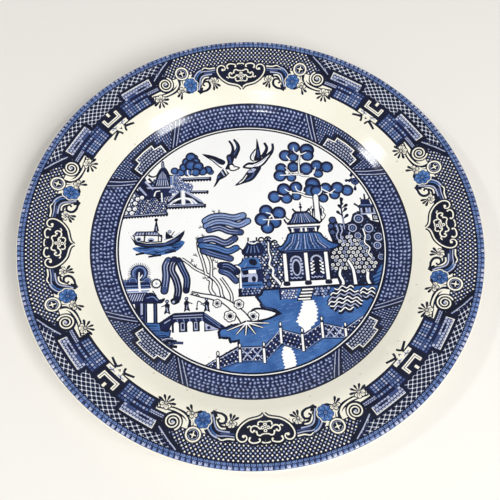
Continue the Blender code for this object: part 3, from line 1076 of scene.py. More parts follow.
def fruit_tree(sheet):
    """The great round-lobed tree behind the house, with its bare trunk."""
    lobes(sheet, [(29.8, 62.5, 3.7), (37.6, 60.2, 4.3), (37.6, 56.4, 3.7), (24.2, 56.9, 3.8),
                  (28.8, 55.6, 3.2), (20.8, 48.4, 3.3), (19.9, 43.2, 3.8), (26.6, 41.8, 2.9),
                  (28.4, 48.8, 3.5), (36.0, 47.4, 4.0), (43.0, 43.6, 2.9), (42.6, 49.2, 3.5),
                  (48.6, 47.8, 3.7), (15.6, 29.2, 3.9), (28.6, 29.0, 2.8), (22.6, 27.8, 3.4),
                  (21.4, 34.0, 3.9), (28.8, 35.0, 3.7), (44.4, 27.0, 3.0), (51.4, 29.0, 3.2),
                  (39.0, 36.6, 4.4), (37.4, 32.2, 4.1), (41.0, 31.8, 3.8), (46.6, 33.6, 3.4),
                  (59.2, 31.4, 3.6), (53.6, 33.4, 3.8), (9.8, 20.2, 3.9), (17.2, 18.4, 4.1),
                  (14.6, 12.6, 3.7), (10.0, 9.4, 3.8), (7.0, 14.8, 4.1)])
    for path in ([(40.0, 28.0), (43.6, 31.0), (44.2, 34.6)], [(48.6, 30.0), (52.2, 32.6)],
                 [(36.2, 42.0), (40.0, 43.6), (41.8, 48.0)], [(34.0, 30.8), (29.6, 32.6), (28.4, 35.8)],
                 [(28.0, 31.0), (24.0, 32.4), (22.0, 34.2)], [(27.0, 43.6), (19.8, 43.4)],
                 [(33.0, 57.0), (37.2, 58.6)], [(32.8, 56.8), (29.8, 59.6), (29.4, 62.4)],
                 [(26.6, 53.6), (24.6, 56.8)], [(20.4, 14.3), (14.0, 14.4), (7.6, 14.6)],
                 [(14.2, 14.2), (12.8, 17.8), (9.6, 19.2)], [(18.0, 30.0), (20.6, 29.2)],
                 [(11.0, 14.0), (10.4, 10.4)], [(44.2, 33.0), (48.6, 30.2), (50.4, 30.0)]):
        sheet.curve(GLAZE, path, 0.80, 0.5)
    bough(sheet, [(40.0, 27.6), (34.4, 28.8), (30.6, 30.8), (26.0, 31.4)], 1.1, 0.6, 0.5)
    bough(sheet, [(37.6, 42.2), (33.0, 42.8), (31.6, 45.4), (32.0, 52.0), (33.0, 57.2)], 1.0, 0.6, 0.4)
    bough(sheet, [(31.8, 43.8), (27.6, 43.6), (25.6, 45.8), (23.6, 48.6)], 0.8, 0.5, 0.35)
    sheet.curve(INK, [(20.2, 18.4), (21.6, 14.8), (23.2, 13.8)], 0.8)
    sheet.fill(INK, box(37.9, 42.0, 13.0, 29.0))
    sheet.blob(GLAZE, [(38.8, 28.6), (38.7, 20.0), (38.6, 13.2), (41.2, 13.2), (41.1, 20.0),
                       (41.2, 28.6)])
    for side, x in ((-1.0, 37.4), (1.0, 42.2)):
        leaf_line = [(x, 22.0), (x + 1.9 * side, 19.4), (x + 1.2 * side, 17.6), (x + 2.4 * side, 15.6),
                     (x + 0.6 * side, 12.8)]
        sheet.curve(INK, leaf_line, 0.6)
        sheet.line(INK, [(x, 20.4), (x + 0.3 * side, 15.0)], 1.3, 0.6)


def pagoda(sheet):
    """The upper storey: finial, crown, ribbed roof and pale ledge."""
    sheet.line(INK, [(30.3, 18.4), (30.3, 25.0)], 0.8, 0.5)
    sheet.dot(INK, 30.3, 21.6, 1.0)
    sheet.dot(INK, 30.3, 23.4, 0.7)
    sheet.curve(INK, [(25.4, 20.8), (27.0, 18.8), (30.0, 18.4), (33.6, 18.6), (35.4, 20.6)], 1.1)
    dome = smooth([(22.0, 11.2), (24.4, 14.2), (26.4, 18.0), (33.8, 18.2), (36.4, 15.6), (41.0, 11.2)])
    sheet.edged(INK, NAVY, dome, 0.8)
    for step in range(10):
        lean = (step - 4.5) / 4.5
        foot = 31.2 + 7.2 * lean
        head = 30.4 + 3.4 * lean
        tone = (SKY, LILAC, SKY)[step % 3]
        sheet.line(tone, [(foot, 11.6), ((foot + head) / 2 - lean * 0.4, 14.8), (head, 17.4)], 0.62, 0.35)
    sheet.curve(INK, [(20.0, 14.2), (21.2, 11.8), (24.0, 11.2)], 1.1)
    sheet.curve(INK, [(42.4, 13.4), (41.2, 11.4), (38.0, 11.0)], 1.2)
    sheet.line(INK, [(21.4, 10.7), (41.0, 10.7)], 0.8)
    sheet.fill(GLAZE, box(20.9, 41.2, 9.2, 10.3))
    sheet.fill(INK, [(21.4, 9.2), (41.0, 9.2), (38.6, 4.0), (23.2, 4.0)])
    sheet.fill(LILAC, box(23.0, 38.8, 8.0, 8.5))
    for x in (24.4, 29.6, 32.2, 38.0):
        sheet.fill(GLAZE, box(x - 0.55, x + 0.55, 4.4, 8.2))
    for x in (26.9, 35.0):
        sheet.fill(LILAC, ellipse(x, 6.0, 1.9, 1.7))
        sheet.fill(NAVY, ellipse(x, 6.3, 1.6, 1.5))
    sheet.dot(DUSK, 30.9, 6.2, 0.6)


def main_roof(sheet):
    """The big ribbed roof of the house."""
    outline = smooth([(22.6, 4.8), (20.4, 1.0), (17.6, -2.6), (14.8, -3.6), (17.4, -6.2), (30.0, -6.4),
                      (45.6, -6.2), (50.6, -3.4), (45.8, -1.6), (42.0, 1.6), (39.4, 4.8), (31.0, 5.2)],
                     True)
    sheet.edged(INK, BLUE, outline, 1.1)
    for step in range(25):
        lean = (step - 12.0) / 12.0
        foot = 31.0 + 14.2 * lean
        head = 31.0 + 7.4 * lean
        waist = (foot + head) / 2 - 1.6 * lean
        tone = (NAVY, INK, LILAC, NAVY, SKY)[step % 5]
        sheet.line(tone, [(foot, -5.2), (waist, -1.0), (head, 4.2)], 0.58, 0.4)
    for x, y in scattered(box(18.0, 45.0, -5.0, 3.0), 2.1, 9, 0.3):
        sheet.dot(DUSK, x, y, 0.42, 5)
    sheet.fill(INK, [(16.6, -5.6), (47.4, -5.6), (45.8, -7.6), (17.0, -7.6)])
    sheet.line(DUSK, [(18.6, -6.5), (45.0, -6.5)], 0.55)


def house_bay(sheet, left, right, open_door):
    """One bay between two columns: an arch of petals over a dark door."""
    middle = (left + right) / 2.0
    reach = (right - left) / 2.0
    sheet.fill(NAVY, box(left, right, -24.4, -7.8))
    sheet.line(INK, arc(middle, -12.6, reach * 0.92, 0, 180, 14), 1.0)
    for step in range(9):
        angle = math.pi * step / 8.0
        sheet.dot(LILAC, middle + reach * 0.66 * math.cos(angle), -12.4 + reach * 0.62 * math.sin(angle),
                  0.62, 7)
    tone = GLAZE if open_door else LILAC
    for side in (-1.0, 1.0):
        for step in range(4):
            sheet.dot(tone, middle + side * reach * 0.72, -14.4 - 2.0 * step, 0.72, 7)
    if open_door:
        sheet.fill(INK, ellipse(middle, -15.6, reach * 0.50, 5.6, count=18))
        for side in (-1.0, 1.0):
            for step in range(4):
                y = -19.8 + 2.2 * step
                sheet.fill(GLAZE, ellipse(middle + side * reach * 0.48, y, 0.80, 0.45, -30.0 * side, 7))
    else:
        sheet.fill(LILAC, ellipse(middle, -16.4, reach * 0.62, 5.2, count=18))
        sheet.fill(INK, ellipse(middle, -16.6, reach * 0.44, 4.2, count=18))
    sheet.curve(LILAC, [(left + 0.6 + 1.1 * k, -22.4 - 0.7 * (k % 2)) for k in range(int(reach * 1.7))],
                0.55)


def house(sheet):
    """The house under the big roof: three columns, two bays, a platform and steps."""
    sheet.fill(INK, box(17.0, 44.6, -26.0, -7.4))
    house_bay(sheet, 20.4, 29.2, False)
    house_bay(sheet, 32.2, 41.0, True)
    platform = [(16.0, -24.5), (47.6, -24.2), (48.4, -28.0), (14.2, -28.4)]
    sheet.edged(INK, GLAZE, platform, 0.5)
    sheet.fill(INK, box(16.6, 44.6, -24.9, -23.6))
    for x in (18.5, 30.7, 42.3):
        sheet.fill(INK, box(x - 1.5, x + 1.5, -25.4, -7.4))
        sheet.fill(GLAZE, box(x - 0.95, x + 0.95, -24.6, -7.7))
        sheet.blob(INK, [(x - 1.6, -25.0), (x + 1.6, -25.0), (x + 1.7, -27.2), (x - 1.7, -27.2)])
    sheet.line(INK, [(13.8, -28.6), (47.6, -28.6)], 0.9)
    dotted(sheet, DUSK, [(14.8, -29.3), (24.6, -29.3), (22.4, -35.6), (14.8, -35.0)], 1.5, 0.5,
           (LILAC, GLAZE), 5)
    dotted(sheet, NAVY, [(33.4, -29.2), (43.4, -29.2), (41.0, -34.8), (33.0, -34.4)], 1.9, 0.75,
           (LILAC, SKY), 6)
    sheet.line(NAVY, [(14.2, -28.6), (14.2, -35.6)], 1.1)
    sheet.fill(INK, [(26.4, -29.0), (34.2, -29.0), (31.2, -36.8), (23.2, -36.6)])
    for step in range(4):
        y = -30.0 - 1.85 * step
        sheet.line(GLAZE, [(26.8 - 0.9 * step, y), (33.0 - 0.65 * step, y)], 0.85)


def waterside(sheet):
    """The dark dotted trees left of the house, with the winding pale rail."""
    mass = smooth([(-3.4, -1.0), (-1.6, 1.0), (3.4, 1.6), (7.0, 1.4), (9.6, 3.0), (11.4, 1.0),
                   (13.4, 0.2), (15.2, -1.0), (16.8, -4.0), (17.2, -14.0), (17.2, -27.0), (13.0, -29.5),
                   (4.0, -29.8), (-1.0, -24.0), (-4.0, -16.0), (-4.4, -8.0)], True)
    dotted(sheet, INK, mass, 1.85, 0.62, (LILAC, SKY, LILAC, DUSK, GLAZE), 8)
    for x, y in ((5.8, 1.6), (9.6, 1.9), (13.2, -0.6)):
        sheet.line(INK, arc(x, y, 1.6, 0, 180, 9), 1.0)
    for x, y in ((3.4, -19.6), (7.8, -21.4), (12.6, -17.2), (8.4, -25.6)):
        sheet.rosette(x, y, (INK, 1.7), (DUSK, 1.25), count=10)
    bough(sheet, [(9.8, 0.0), (9.6, -6.0), (10.3, -10.0), (9.3, -14.0), (11.4, -17.0), (10.9, -20.6),
                  (13.2, -23.6), (15.4, -27.0)], 0.7, 1.3, 0.40)
    sheet.curve(LILAC, [(5.0, -1.0), (6.2, -4.6), (5.2, -8.2), (7.0, -11.6)], 0.5)


def teahouse(sheet):
    """The small two-roofed teahouse beside the water."""
    for x in (-1.8, 3.1):
        sheet.line(INK, [(x, 3.6), (x - 0.1, 0.6)], 1.0, 0.9)
    sheet.blob(NAVY, [(-2.4, 0.2), (-4.0, -3.0), (-6.0, -4.4), (-4.6, -7.6), (5.4, -7.4),
                      (6.8, -3.4), (4.0, 0.2), (0.6, -0.8)])
    sheet.line(INK, [(-6.9, -2.8), (-5.2, -4.6), (-4.6, -8.0)], 1.0, 0.6)
    sheet.line(INK, [(-2.2, 0.2), (-3.8, -2.4), (-5.0, -4.0)], 0.7)
    sheet.curve(GLAZE, [(-1.9, 0.9), (-0.4, -0.2), (1.8, -0.3), (3.4, 0.8)], 0.7)
    for x in (-3.2, -0.8, 1.6, 4.0):
        sheet.line(SKY, [(x, -6.0), (x * 0.6 + 0.4, -1.8)], 0.7, 0.4)
    sheet.fill(INK, box(-5.0, 5.6, -9.4, -7.4))
    for x in (-3.6, -1.0, 1.8, 4.2):
        sheet.fill(LILAC, ellipse(x, -8.6, 0.8, 0.5, count=7))
    sheet.blob(BLUE, [(-5.2, -9.6), (-6.4, -11.8), (-9.0, -13.4), (-7.4, -14.6), (-7.2, -16.8),
                      (3.0, -16.6), (4.0, -12.6), (2.4, -9.4)])
    sheet.line(INK, [(-5.4, -9.0), (-6.4, -11.6), (-8.4, -13.1), (-10.8, -13.2)], 0.8)
    sheet.blob(INK, [(-1.6, -10.0), (1.6, -10.2), (2.4, -13.0), (0.4, -14.0), (-2.0, -12.4)])
    sheet.line(SKY, [(-5.4, -15.6), (-3.4, -12.0)], 0.9, 0.5)
    sheet.curve(NAVY, [(-7.2, -15.6), (-2.4, -15.2), (3.0, -15.4)], 0.9, 0.6)
    sheet.fill(NAVY, box(-7.0, 5.6, -24.2, -16.6))
    sheet.fill(GLAZE, box(-2.8, 1.5, -18.7, -16.6))
    sheet.fill(INK, box(-5.6, -2.8, -19.2, -16.9))
    sheet.blob(LILAC, [(-6.8, -17.0), (-5.6, -19.4), (-1.6, -18.8), (1.8, -19.0), (1.6, -24.0),
                       (-3.0, -24.0), (-3.4, -21.0), (-6.8, -20.6)])
    sheet.fill(INK, ellipse(0.0, -22.2, 1.25, 1.8))
    sheet.fill(INK, box(-6.6, -3.4, -24.0, -22.6))
    sheet.fill(INK, ellipse(-4.2, -21.2, 1.3, 0.6))
    sheet.fill(BLUE, box(-7.0, 4.6, -27.6, -24.0))
    sheet.line(NAVY, [(-6.8, -25.8), (4.0, -25.9)], 0.8)
    dotted(sheet, NAVY, [(-8.6, -27.4), (4.6, -27.4), (3.0, -32.2), (-8.8, -32.2)], 1.7, 0.55,
           (LILAC, SKY), 11)
    sheet.line(INK, [(-9.4, -32.0), (2.4, -32.0)], 1.0)
    sheet.line(INK, [(-8.2, -15.2), (-8.4, -28.0)], 0.5)
    sheet.line(GLAZE, [(-7.4, -14.8), (-7.6, -19.0), (-7.8, -27.4)], 0.7)
    sheet.fill(INK, box(-9.2, -7.4, -32.0, -27.6))


def ringlets(sheet, base, outline, spacing, radius, seed):
    """Foliage of small pale rings on a dark ground."""
    sheet.fill(base, outline)
    for index, (x, y) in enumerate(scattered(outline, spacing, seed, 0.3)):
        tone = LILAC if index % 4 == 1 else GLAZE
        sheet.rosette(x, y, (tone, radius), (INK, radius * 0.58), (tone, radius * 0.24), count=9)


def black_leaves(sheet):
    """The tall plant with dark paired leaves."""
    sheet.curve(NAVY, [(54.6, 27.0), (54.4, 16.0), (55.4, 3.0)], 0.8, 1.2)
    for x, y, turn, length, width in ((54.6, 22.0, 172, 4.9, 2.4), (54.6, 19.6, 124, 4.6, 2.0),
                                      (54.6, 18.4, 205, 4.4, 1.8), (54.5, 16.6, 136, 4.6, 2.0),
                                      (54.5, 12.4, 132, 4.9, 2.0), (54.5, 14.6, 222, 4.8, 2.0),
                                      (53.4, 20.0, 148, 4.2, 1.8)):
        sheet.add(leaf(length, width), placed(x, y, turn))
    sheet.line(LILAC, [(54.5, 14.0), (54.9, 6.0)], 0.4)


def far_pavilion(sheet):
    """The little pagoda at the right edge, and a leafy spray above it."""
    sheet.line(INK, [(69.0, 24.0), (69.0, 28.6)], 1.2, 0.9)
    sheet.curve(INK, [(66.2, 25.9), (67.4, 24.6), (70.6, 24.6), (71.8, 25.9)], 0.9)
    sheet.blob(NAVY, [(66.6, 24.6), (71.4, 24.6), (72.2, 21.8), (75.4, 20.4), (74.4, 19.4),
                      (65.0, 19.4), (64.4, 20.6), (66.2, 22.2)])
    sheet.curve(INK, [(62.2, 22.4), (64.2, 20.8), (66.6, 20.2)], 1.3, 0.8)
    sheet.line(SKY, [(65.8, 21.2), (73.0, 21.0)], 0.55)
    sheet.fill(INK, box(64.8, 74.6, 15.8, 19.6))
    for x in (66.2, 69.2, 71.2, 73.8):
        sheet.fill(LILAC, box(x - 0.5, x + 0.5, 16.2, 19.2))
    sheet.fill(SKY, box(69.8, 71.0, 16.4, 18.6))
    sheet.line(LILAC, [(65.4, 15.3), (76.0, 15.3)], 0.9)
    sheet.edged(INK, GLAZE, box(72.4, 76.0, 11.2, 14.4), 1.0)
    sheet.edged(NAVY, LILAC, box(73.4, 75.4, 12.2, 13.6), 0.4)
    for x, y, length, turn in ((63.4, 44.6, 4.6, -12), (65.8, 45.0, 5.0, 10), (63.2, 40.0, 4.0, -40),
                               (66.4, 41.6, 4.4, 24), (62.0, 38.6, 3.6, -75), (67.4, 37.0, 4.0, 30),
                               (64.6, 35.6, 4.8, -8)):
        sheet.add(leaf(length, 2.0, NAVY), placed(x, y, turn))
    sheet.rosette(64.6, 37.2, (NAVY, 2.6), (DUSK, 2.0), (NAVY, 0.9), count=9)


def garden(sheet):
    """The garden right of the house: ringlets, trunks, ring flowers and a far pavilion."""
    back = [(45.0, 6.0), (47.0, 13.6), (50.0, 14.4), (51.4, 10.0), (56.0, 9.6), (59.0, 11.0),
            (60.6, 15.6), (64.0, 17.4), (68.0, 16.0), (71.0, 11.0), (77.0, 9.0), (78.0, -12.0),
            (74.0, -22.0), (66.0, -36.0), (48.0, -34.0), (44.6, -26.0), (44.6, -8.0), (47.0, -2.0)]
    dotted(sheet, INK, back, 2.3, 0.50, (DUSK, NAVY, SKY, DUSK, NAVY), 13)
    far_pavilion(sheet)
    ringlets(sheet, INK, [(44.6, -9.0), (49.0, -5.6), (52.0, 3.0), (57.0, 3.4), (64.0, 1.0), (66.0, -6.0),
                          (69.0, -12.0), (73.6, -15.0), (70.0, -20.6), (62.0, -23.0), (55.0, -20.4),
                          (44.6, -19.6)], 2.75, 1.0, 12)
    for x, y, radius in ((48.4, 12.2, 2.4), (50.2, 8.6, 1.8), (47.0, 8.4, 1.9), (47.6, 4.4, 1.8)):
        sheet.rosette(x, y, (INK, radius), (DUSK, radius * 0.72), count=12)
    for x in (50.2, 52.6, 57.4):
        wave = [(x, 9.0), (x + 0.8, 5.4), (x - 0.5, 2.0), (x + 0.6, -1.6), (x - 0.3, -5.0)]
        sheet.curve(LILAC, wave, 0.8, 0.5)
    black_leaves(sheet)
    for x, y, radius in ((63.8, 12.4, 2.9), (59.6, 6.6, 2.6), (69.0, 6.0, 2.9), (62.2, 1.6, 2.0),
                         (74.0, 0.2, 2.7), (72.8, -5.2, 2.3), (74.0, -12.4, 1.8), (67.8, 0.2, 1.8),
                         (64.2, -3.6, 1.9)):
        sheet.rosette(x, y, (INK, radius + 0.5), (LILAC, radius), (NAVY, radius * 0.74),
                      (SKY, radius * 0.42), (INK, radius * 0.22), count=14)
    bough(sheet, [(65.6, 6.0), (66.4, 1.0), (65.6, -3.0), (68.2, -6.4), (67.0, -9.8), (68.8, -12.6)],
          0.8, 0.6, 0.3)
    sheet.edged(NAVY, BLUE, [(66.4, -22.0), (69.0, -21.6), (76.0, -14.0), (76.0, -22.0), (72.0, -28.0),
                             (67.6, -31.0)], 2.2)
    for step in range(3):
        sheet.line(INK, [(67.6, -23.6 - 2.2 * step), (74.4, -20.6 - 2.2 * step)], 0.8, 0.4)
    bough(sheet, [(49.8, -18.6), (49.0, -22.4), (50.5, -26.6), (49.4, -30.0)], 1.2, 1.5)
    bough(sheet, [(54.6, -13.6), (56.4, -17.4), (57.2, -21.4), (57.6, -34.6)], 1.2, 2.0)
    bough(sheet, [(65.2, -21.4), (64.7, -25.8), (66.4, -31.0)], 1.5, 1.6)


def rock_ridges(sheet):
    """Nested wavy rock lines under the garden."""
    for middle, left, right, top, count in ((64.0, 58.6, 68.6, -31.4, 3), (52.0, 40.6, 60.4, -29.6, 7)):
        waves = []
        for step in range(count):
            swell = math.sin(math.pi * (step + 1.7) / (count + 2.0))
            centre = (left + right) / 2.0
            x = np.linspace(centre + (left - centre) * swell, centre + (right - centre) * swell, 22)
            fall = 0.028 * (x - middle) ** 2 + 0.75 * np.cos((x - middle) * 1.25 + step)
            waves.append(np.stack([x, top - 2.15 * step - fall], 1))
        for wave in waves:
            sheet.line(INK, wave - (0.0, 0.5), 2.7)
        for step, wave in enumerate(waves):
            sheet.line((GLAZE, GLAZE, LILAC)[step % 3], wave, 0.64)


def ground(sheet):
    """The washed ground with its dotted shore line and the bare spit of land."""
    shore = [(14.0, -28.6), (4.6, -29.0), (3.6, -31.6), (0.8, -33.0), (2.8, -36.0), (3.6, -39.8),
             (10.6, -41.0), (13.6, -43.4), (8.0, -45.5), (-1.0, -47.4), (-8.0, -48.4), (-14.0, -48.8),
             (-17.0, -50.2), (-20.0, -50.4), (-21.2, -52.4), (-20.8, -55.4), (-15.6, -56.0),
             (-15.0, -58.2), (-10.6, -57.6), (-10.6, -61.0), (-21.0, -66.4), (-30.0, -71.6)]
    rest = arc(0.0, 0.0, 78.0, -112.0, -22.0, 30)
    for (x, y), (next_x, next_y) in zip(shore[2:], shore[3:]):
        for step in range(3):
            along = (step + 0.3 * (step % 2)) / 3.0
            sheet.dot(INK, x + (next_x - x) * along, y + (next_y - y) * along, 0.95, 8)
    sheet.edged(INK, BLUE, np.concatenate([shore, rest, [(60.0, -29.0), (48.0, -29.0)]]), 1.3)
    rng = random.Random(21)
    for x, y in scattered(np.concatenate([arc(0.0, 0.0, 75.0, -103.0, -35.0, 16),
                                          [(36.0, -38.0), (14.0, -36.0), (2.0, -50.0)]]), 3.9, 22, 1.1):
        reach = rng.uniform(1.2, 2.4)
        sheet.line(rng.choice((DUSK, SKY, DUSK)), [(x - reach, y - 0.5), (x, y), (x + reach, y + 0.3)],
                   0.42, 0.15)
    sheet.edged(INK, GLAZE, smooth([(-2.0, -40.6), (4.0, -40.2), (11.6, -43.0), (6.0, -46.2),
                                    (-4.0, -46.8)], True), 1.3)
    sheet.curve(INK, [(2.6, -37.2), (5.4, -39.8), (9.4, -40.6), (12.8, -42.6)], 1.9, 1.0)
    sheet.curve(DUSK, [(3.4, -37.8), (6.0, -39.8), (9.4, -40.8)], 0.5)


def notched_path(sheet, left, right, steps, bite):
    """A bare path whose two edges are toothed; left and right run top to bottom."""
    def teeth(side, sign):
        edge = np.asarray(side, float)
        run = np.linspace(0.0, len(edge) - 1.0, 2 * steps + 1)
        x = np.interp(run, np.arange(len(edge)), edge[:, 0])
        y = np.interp(run, np.arange(len(edge)), edge[:, 1])
        return np.stack([x + sign * bite * (np.arange(2 * steps + 1) % 2), y], 1)
    sheet.fill(GLAZE, np.concatenate([teeth(left, 1.0), teeth(right, -1.0)[::-1]]))


def paths(sheet):
    """The two bare paths on the washed ground."""
    notched_path(sheet, [(26.2, -36.6), (24.4, -42.0), (21.4, -48.6), (25.6, -55.0)],
                 [(33.4, -36.6), (34.8, -42.0), (34.0, -48.6), (27.4, -55.4)], 9, 1.1)
    notched_path(sheet, [(13.6, -61.4), (12.0, -66.5), (12.6, -71.4), (13.4, -76.2)],
                 [(17.4, -61.8), (19.6, -66.4), (20.4, -71.0), (19.8, -75.6)], 8, 0.9)


FENCE = [(-29.6, -70.8, -72.6), (-22.3, -66.8, -72.8), (-10.2, -61.4, -69.4), (3.0, -61.6, -70.2),
         (12.9, -52.6, -61.2), (24.6, -56.2, -65.6), (36.0, -50.2, -58.8), (48.6, -53.4, -59.6),
         (60.0, -47.0, -50.0)]
POSTS = [(-22.3, -63.4, -74.0), (-10.2, -59.6, -70.0), (3.0, -59.6, -71.2), (12.9, -48.6, -60.8),
         (24.6, -52.8, -65.8), (36.0, -46.6, -59.0), (48.8, -50.8, -59.8)]


def fence(sheet):
    """The zigzag garden fence: lattice panels between pale posts."""
    for index, (start, end) in enumerate(zip(FENCE, FENCE[1:])):
        corners = [(start[0], start[1]), (end[0], end[1]), (end[0], end[2]), (start[0], start[2])]
        sheet.edged(INK, NAVY, corners, 0.7)
        columns = max(3, round((end[0] - start[0]) / 2.1))
        for row in range(4):
            for column in range(columns):
                along = (column + 0.3 + 0.4 * (row % 2)) / columns
                down = (row + 0.6) / 4.2
                top = start[1] + (end[1] - start[1]) * along
                foot = start[2] + (end[2] - start[2]) * along
                tone = (LILAC, SKY, GLAZE)[(row + column + index) % 3]
                sheet.dot(tone, start[0] + (end[0] - start[0]) * along, top + (foot - top) * down, 0.5, 4)
        sheet.line(LILAC, [(start[0] + 0.6, start[1] - 0.5), (end[0] - 0.6, end[1] - 0.5)], 0.42)
        sheet.line(SKY, [(start[0] + 0.6, start[2] + 0.4), (end[0] - 0.6, end[2] + 0.4)], 0.38)
    for left, right, low, high in ((-9.0, 1.8, -68.6, -62.8), (37.4, 47.4, -58.4, -52.8)):
        middle = (left + right) / 2.0
        for side, centre in ((low, high), (high, low)):
            sheet.line(LILAC, [(left, side), (middle, centre), (right, side)], 0.6)
    for x, top, foot in POSTS:
        sheet.line(INK, [(x, top - 2.4), (x, foot)], 2.1)
        sheet.line(GLAZE, [(x - 0.15, top - 2.8), (x - 0.15, foot + 0.3)], 1.15)
        sheet.fill(INK, ellipse(x, top - 1.0, 1.0, 1.7))
        sheet.fill(GLAZE, ellipse(x, top - 0.9, 0.45, 1.0))
        sheet.line(INK, [(x - 1.0, top - 2.9), (x + 1.0, top - 2.9)], 0.5)


def frond(sheet, width, body, streak, path):
    """A hanging willow frond with a black edge and pale streaks."""
    curve = smooth(path)
    for tone, wide in ((INK, width + 0.3), (body, width - 1.25)):
        sheet.line(tone, curve, wide)
        for end in (curve[0], curve[-1]):
            sheet.dot(tone, end[0], end[1], wide / 2.0, 12)
    for offset, tone, wide in ((0.17, streak, 0.55), (-0.19, streak, 0.40), (0.02, INK, 0.45)):
        sheet.line(tone, beside(curve, offset * width)[1:-1], wide, wide * 0.6)


def twig(sheet, x, y, turn, size=1.0):
    """A small forked twig."""
    one = Sheet()
    one.line(INK, [(0.0, 0.0), (0.0, 3.4)], 0.55, 0.4)
    one.line(INK, [(0.0, 1.0), (1.3, 2.4)], 0.5, 0.35)
    one.line(INK, [(0.0, 1.4), (-1.1, 3.0)], 0.5, 0.35)
    sheet.add(one, placed(x, y, turn, size))


def blossom(sheet, x, y, radius):
    """An open flower drawn in outline."""
    petals = 6
    for tone, grow in ((INK, 0.62), (GLAZE, 0.0)):
        for index in range(petals):
            angle = math.tau * index / petals + 0.3
            sheet.dot(tone, x + radius * 0.62 * math.cos(angle), y + radius * 0.62 * math.sin(angle),
                      radius * 0.45 + grow, 10)
    sheet.dot(GLAZE, x, y, radius * 0.7, 10)
    sheet.line(INK, ellipse(x, y, radius * 0.62, count=12), 0.3, closed=True)
    sheet.dot(INK, x, y, radius * 0.46, 7)


def willow(sheet):
    """The willow that leans over the bridge."""
    for width, path in ((1.5, [(-22.6, -31.0), (-24.8, -27.0), (-24.4, -22.0), (-26.6, -20.4)]),
                        (1.2, [(-14.4, -36.4), (-18.2, -32.0), (-19.4, -26.0), (-23.0, -20.4),
                               (-29.0, -16.4), (-33.0, -14.0), (-36.6, -10.6), (-40.4, -7.6)]),
                        (1.1, [(-24.0, -19.6), (-23.8, -11.0), (-26.2, -5.0)]),
                        (1.1, [(-27.0, -17.4), (-28.4, -10.0), (-30.4, -3.0), (-31.0, 2.4)]),
                        (1.1, [(-13.4, -36.6), (-13.2, -31.0), (-15.6, -25.4), (-18.6, -20.4)])):
        bough(sheet, path, width * 0.85, width * 0.6, 0.66)
    blossom(sheet, -1.8, -44.2, 2.9)
    bough(sheet, [(-35.6, -28.6), (-30.0, -30.4), (-24.8, -31.6), (-18.0, -34.0)], 1.0, 2.2, 0.80)
    bough(sheet, [(-19.4, -33.2), (-15.0, -36.2), (-11.4, -39.8), (-8.0, -43.6), (-5.4, -48.2)],
          2.0, 5.2, 0.80)
    for x, y, turn in ((-31.0, -30.6, 60), (-33.6, -28.8, 100), (-26.2, -20.6, 70), (-23.4, -10.6, -35),
                       (-32.0, -13.8, 30), (-35.4, -10.6, -30), (-30.8, 2.0, 10), (-31.4, -6.8, 50)):
        twig(sheet, x, y, turn, 0.9)
    frond(sheet, 4.4, DUSK, LILAC, [(-48.0, -8.4), (-49.6, -12.0), (-49.4, -18.0), (-50.6, -26.6)])
    frond(sheet, 4.2, NAVY, LILAC, [(-44.6, -8.0), (-46.4, -14.0), (-44.0, -20.0), (-42.8, -26.0),
                                    (-43.6, -31.4)])
    frond(sheet, 3.8, NAVY, SKY, [(-42.2, -8.6), (-40.0, -14.0), (-37.8, -20.0), (-38.4, -27.0)])
    sheet.blob(INK, [(-45.2, -31.0), (-47.4, -32.6), (-45.6, -35.2), (-42.0, -33.4)])
    sheet.dot(LILAC, -45.6, -33.4, 0.8, 7)
    for width, body, streak, path in (
            (4.6, SKY, LILAC, [(-26.0, 15.4), (-22.0, 17.6), (-16.0, 18.0), (-9.6, 16.6), (-4.0, 17.8)]),
            (4.4, SKY, LILAC, [(-25.6, 12.2), (-20.0, 14.6), (-13.4, 14.0), (-7.0, 11.8), (-1.4, 14.2)]),
            (4.2, DUSK, LILAC, [(-24.0, 9.6), (-18.0, 10.8), (-12.4, 8.2), (-6.0, 7.2)]),
            (4.4, DUSK, LILAC, [(-29.4, 3.0), (-22.0, 3.8), (-15.2, 0.8), (-9.6, 3.4)]),
            (4.2, BLUE, SKY, [(-29.0, 0.0), (-21.0, -1.6), (-14.0, -4.4), (-9.0, -2.6)]),
            (4.0, DUSK, SKY, [(-28.0, -3.4), (-20.4, -6.4), (-12.6, -9.0)]),
            (4.2, NAVY, SKY, [(-18.4, -13.0), (-14.0, -13.4), (-9.4, -17.2)]),
            (4.0, DUSK, SKY, [(-18.0, -16.4), (-13.8, -18.4), (-10.2, -22.6)])):
        frond(sheet, width, body, streak, path)
    for x, y, turn in ((-20.4, 19.8, 20), (-18.6, 19.8, -30), (-27.4, 11.6, 90), (-29.6, 4.0, 60),
                       (-19.6, -12.0, 40), (-20.4, -15.0, 80), (-27.6, 4.6, 10)):
        twig(sheet, x, y, turn, 0.85)
    for x, y, radius in ((-9.3, -36.8, 2.4), (-14.6, -43.4, 3.0), (-21.4, -35.6, 2.1)):
        blossom(sheet, x, y, radius)
    tips = [(-16.6, -51.6), (-11.6, -54.0), (-6.6, -54.8), (-1.2, -54.4), (3.2, -51.0), (6.6, -48.6)]
    for width, end_width, tone in ((2.8, 1.2, INK), (0.80, 0.35, GLAZE)):
        for x, y in tips:
            sheet.line(tone, [(-5.6, -47.6), (x, y)], width, end_width)


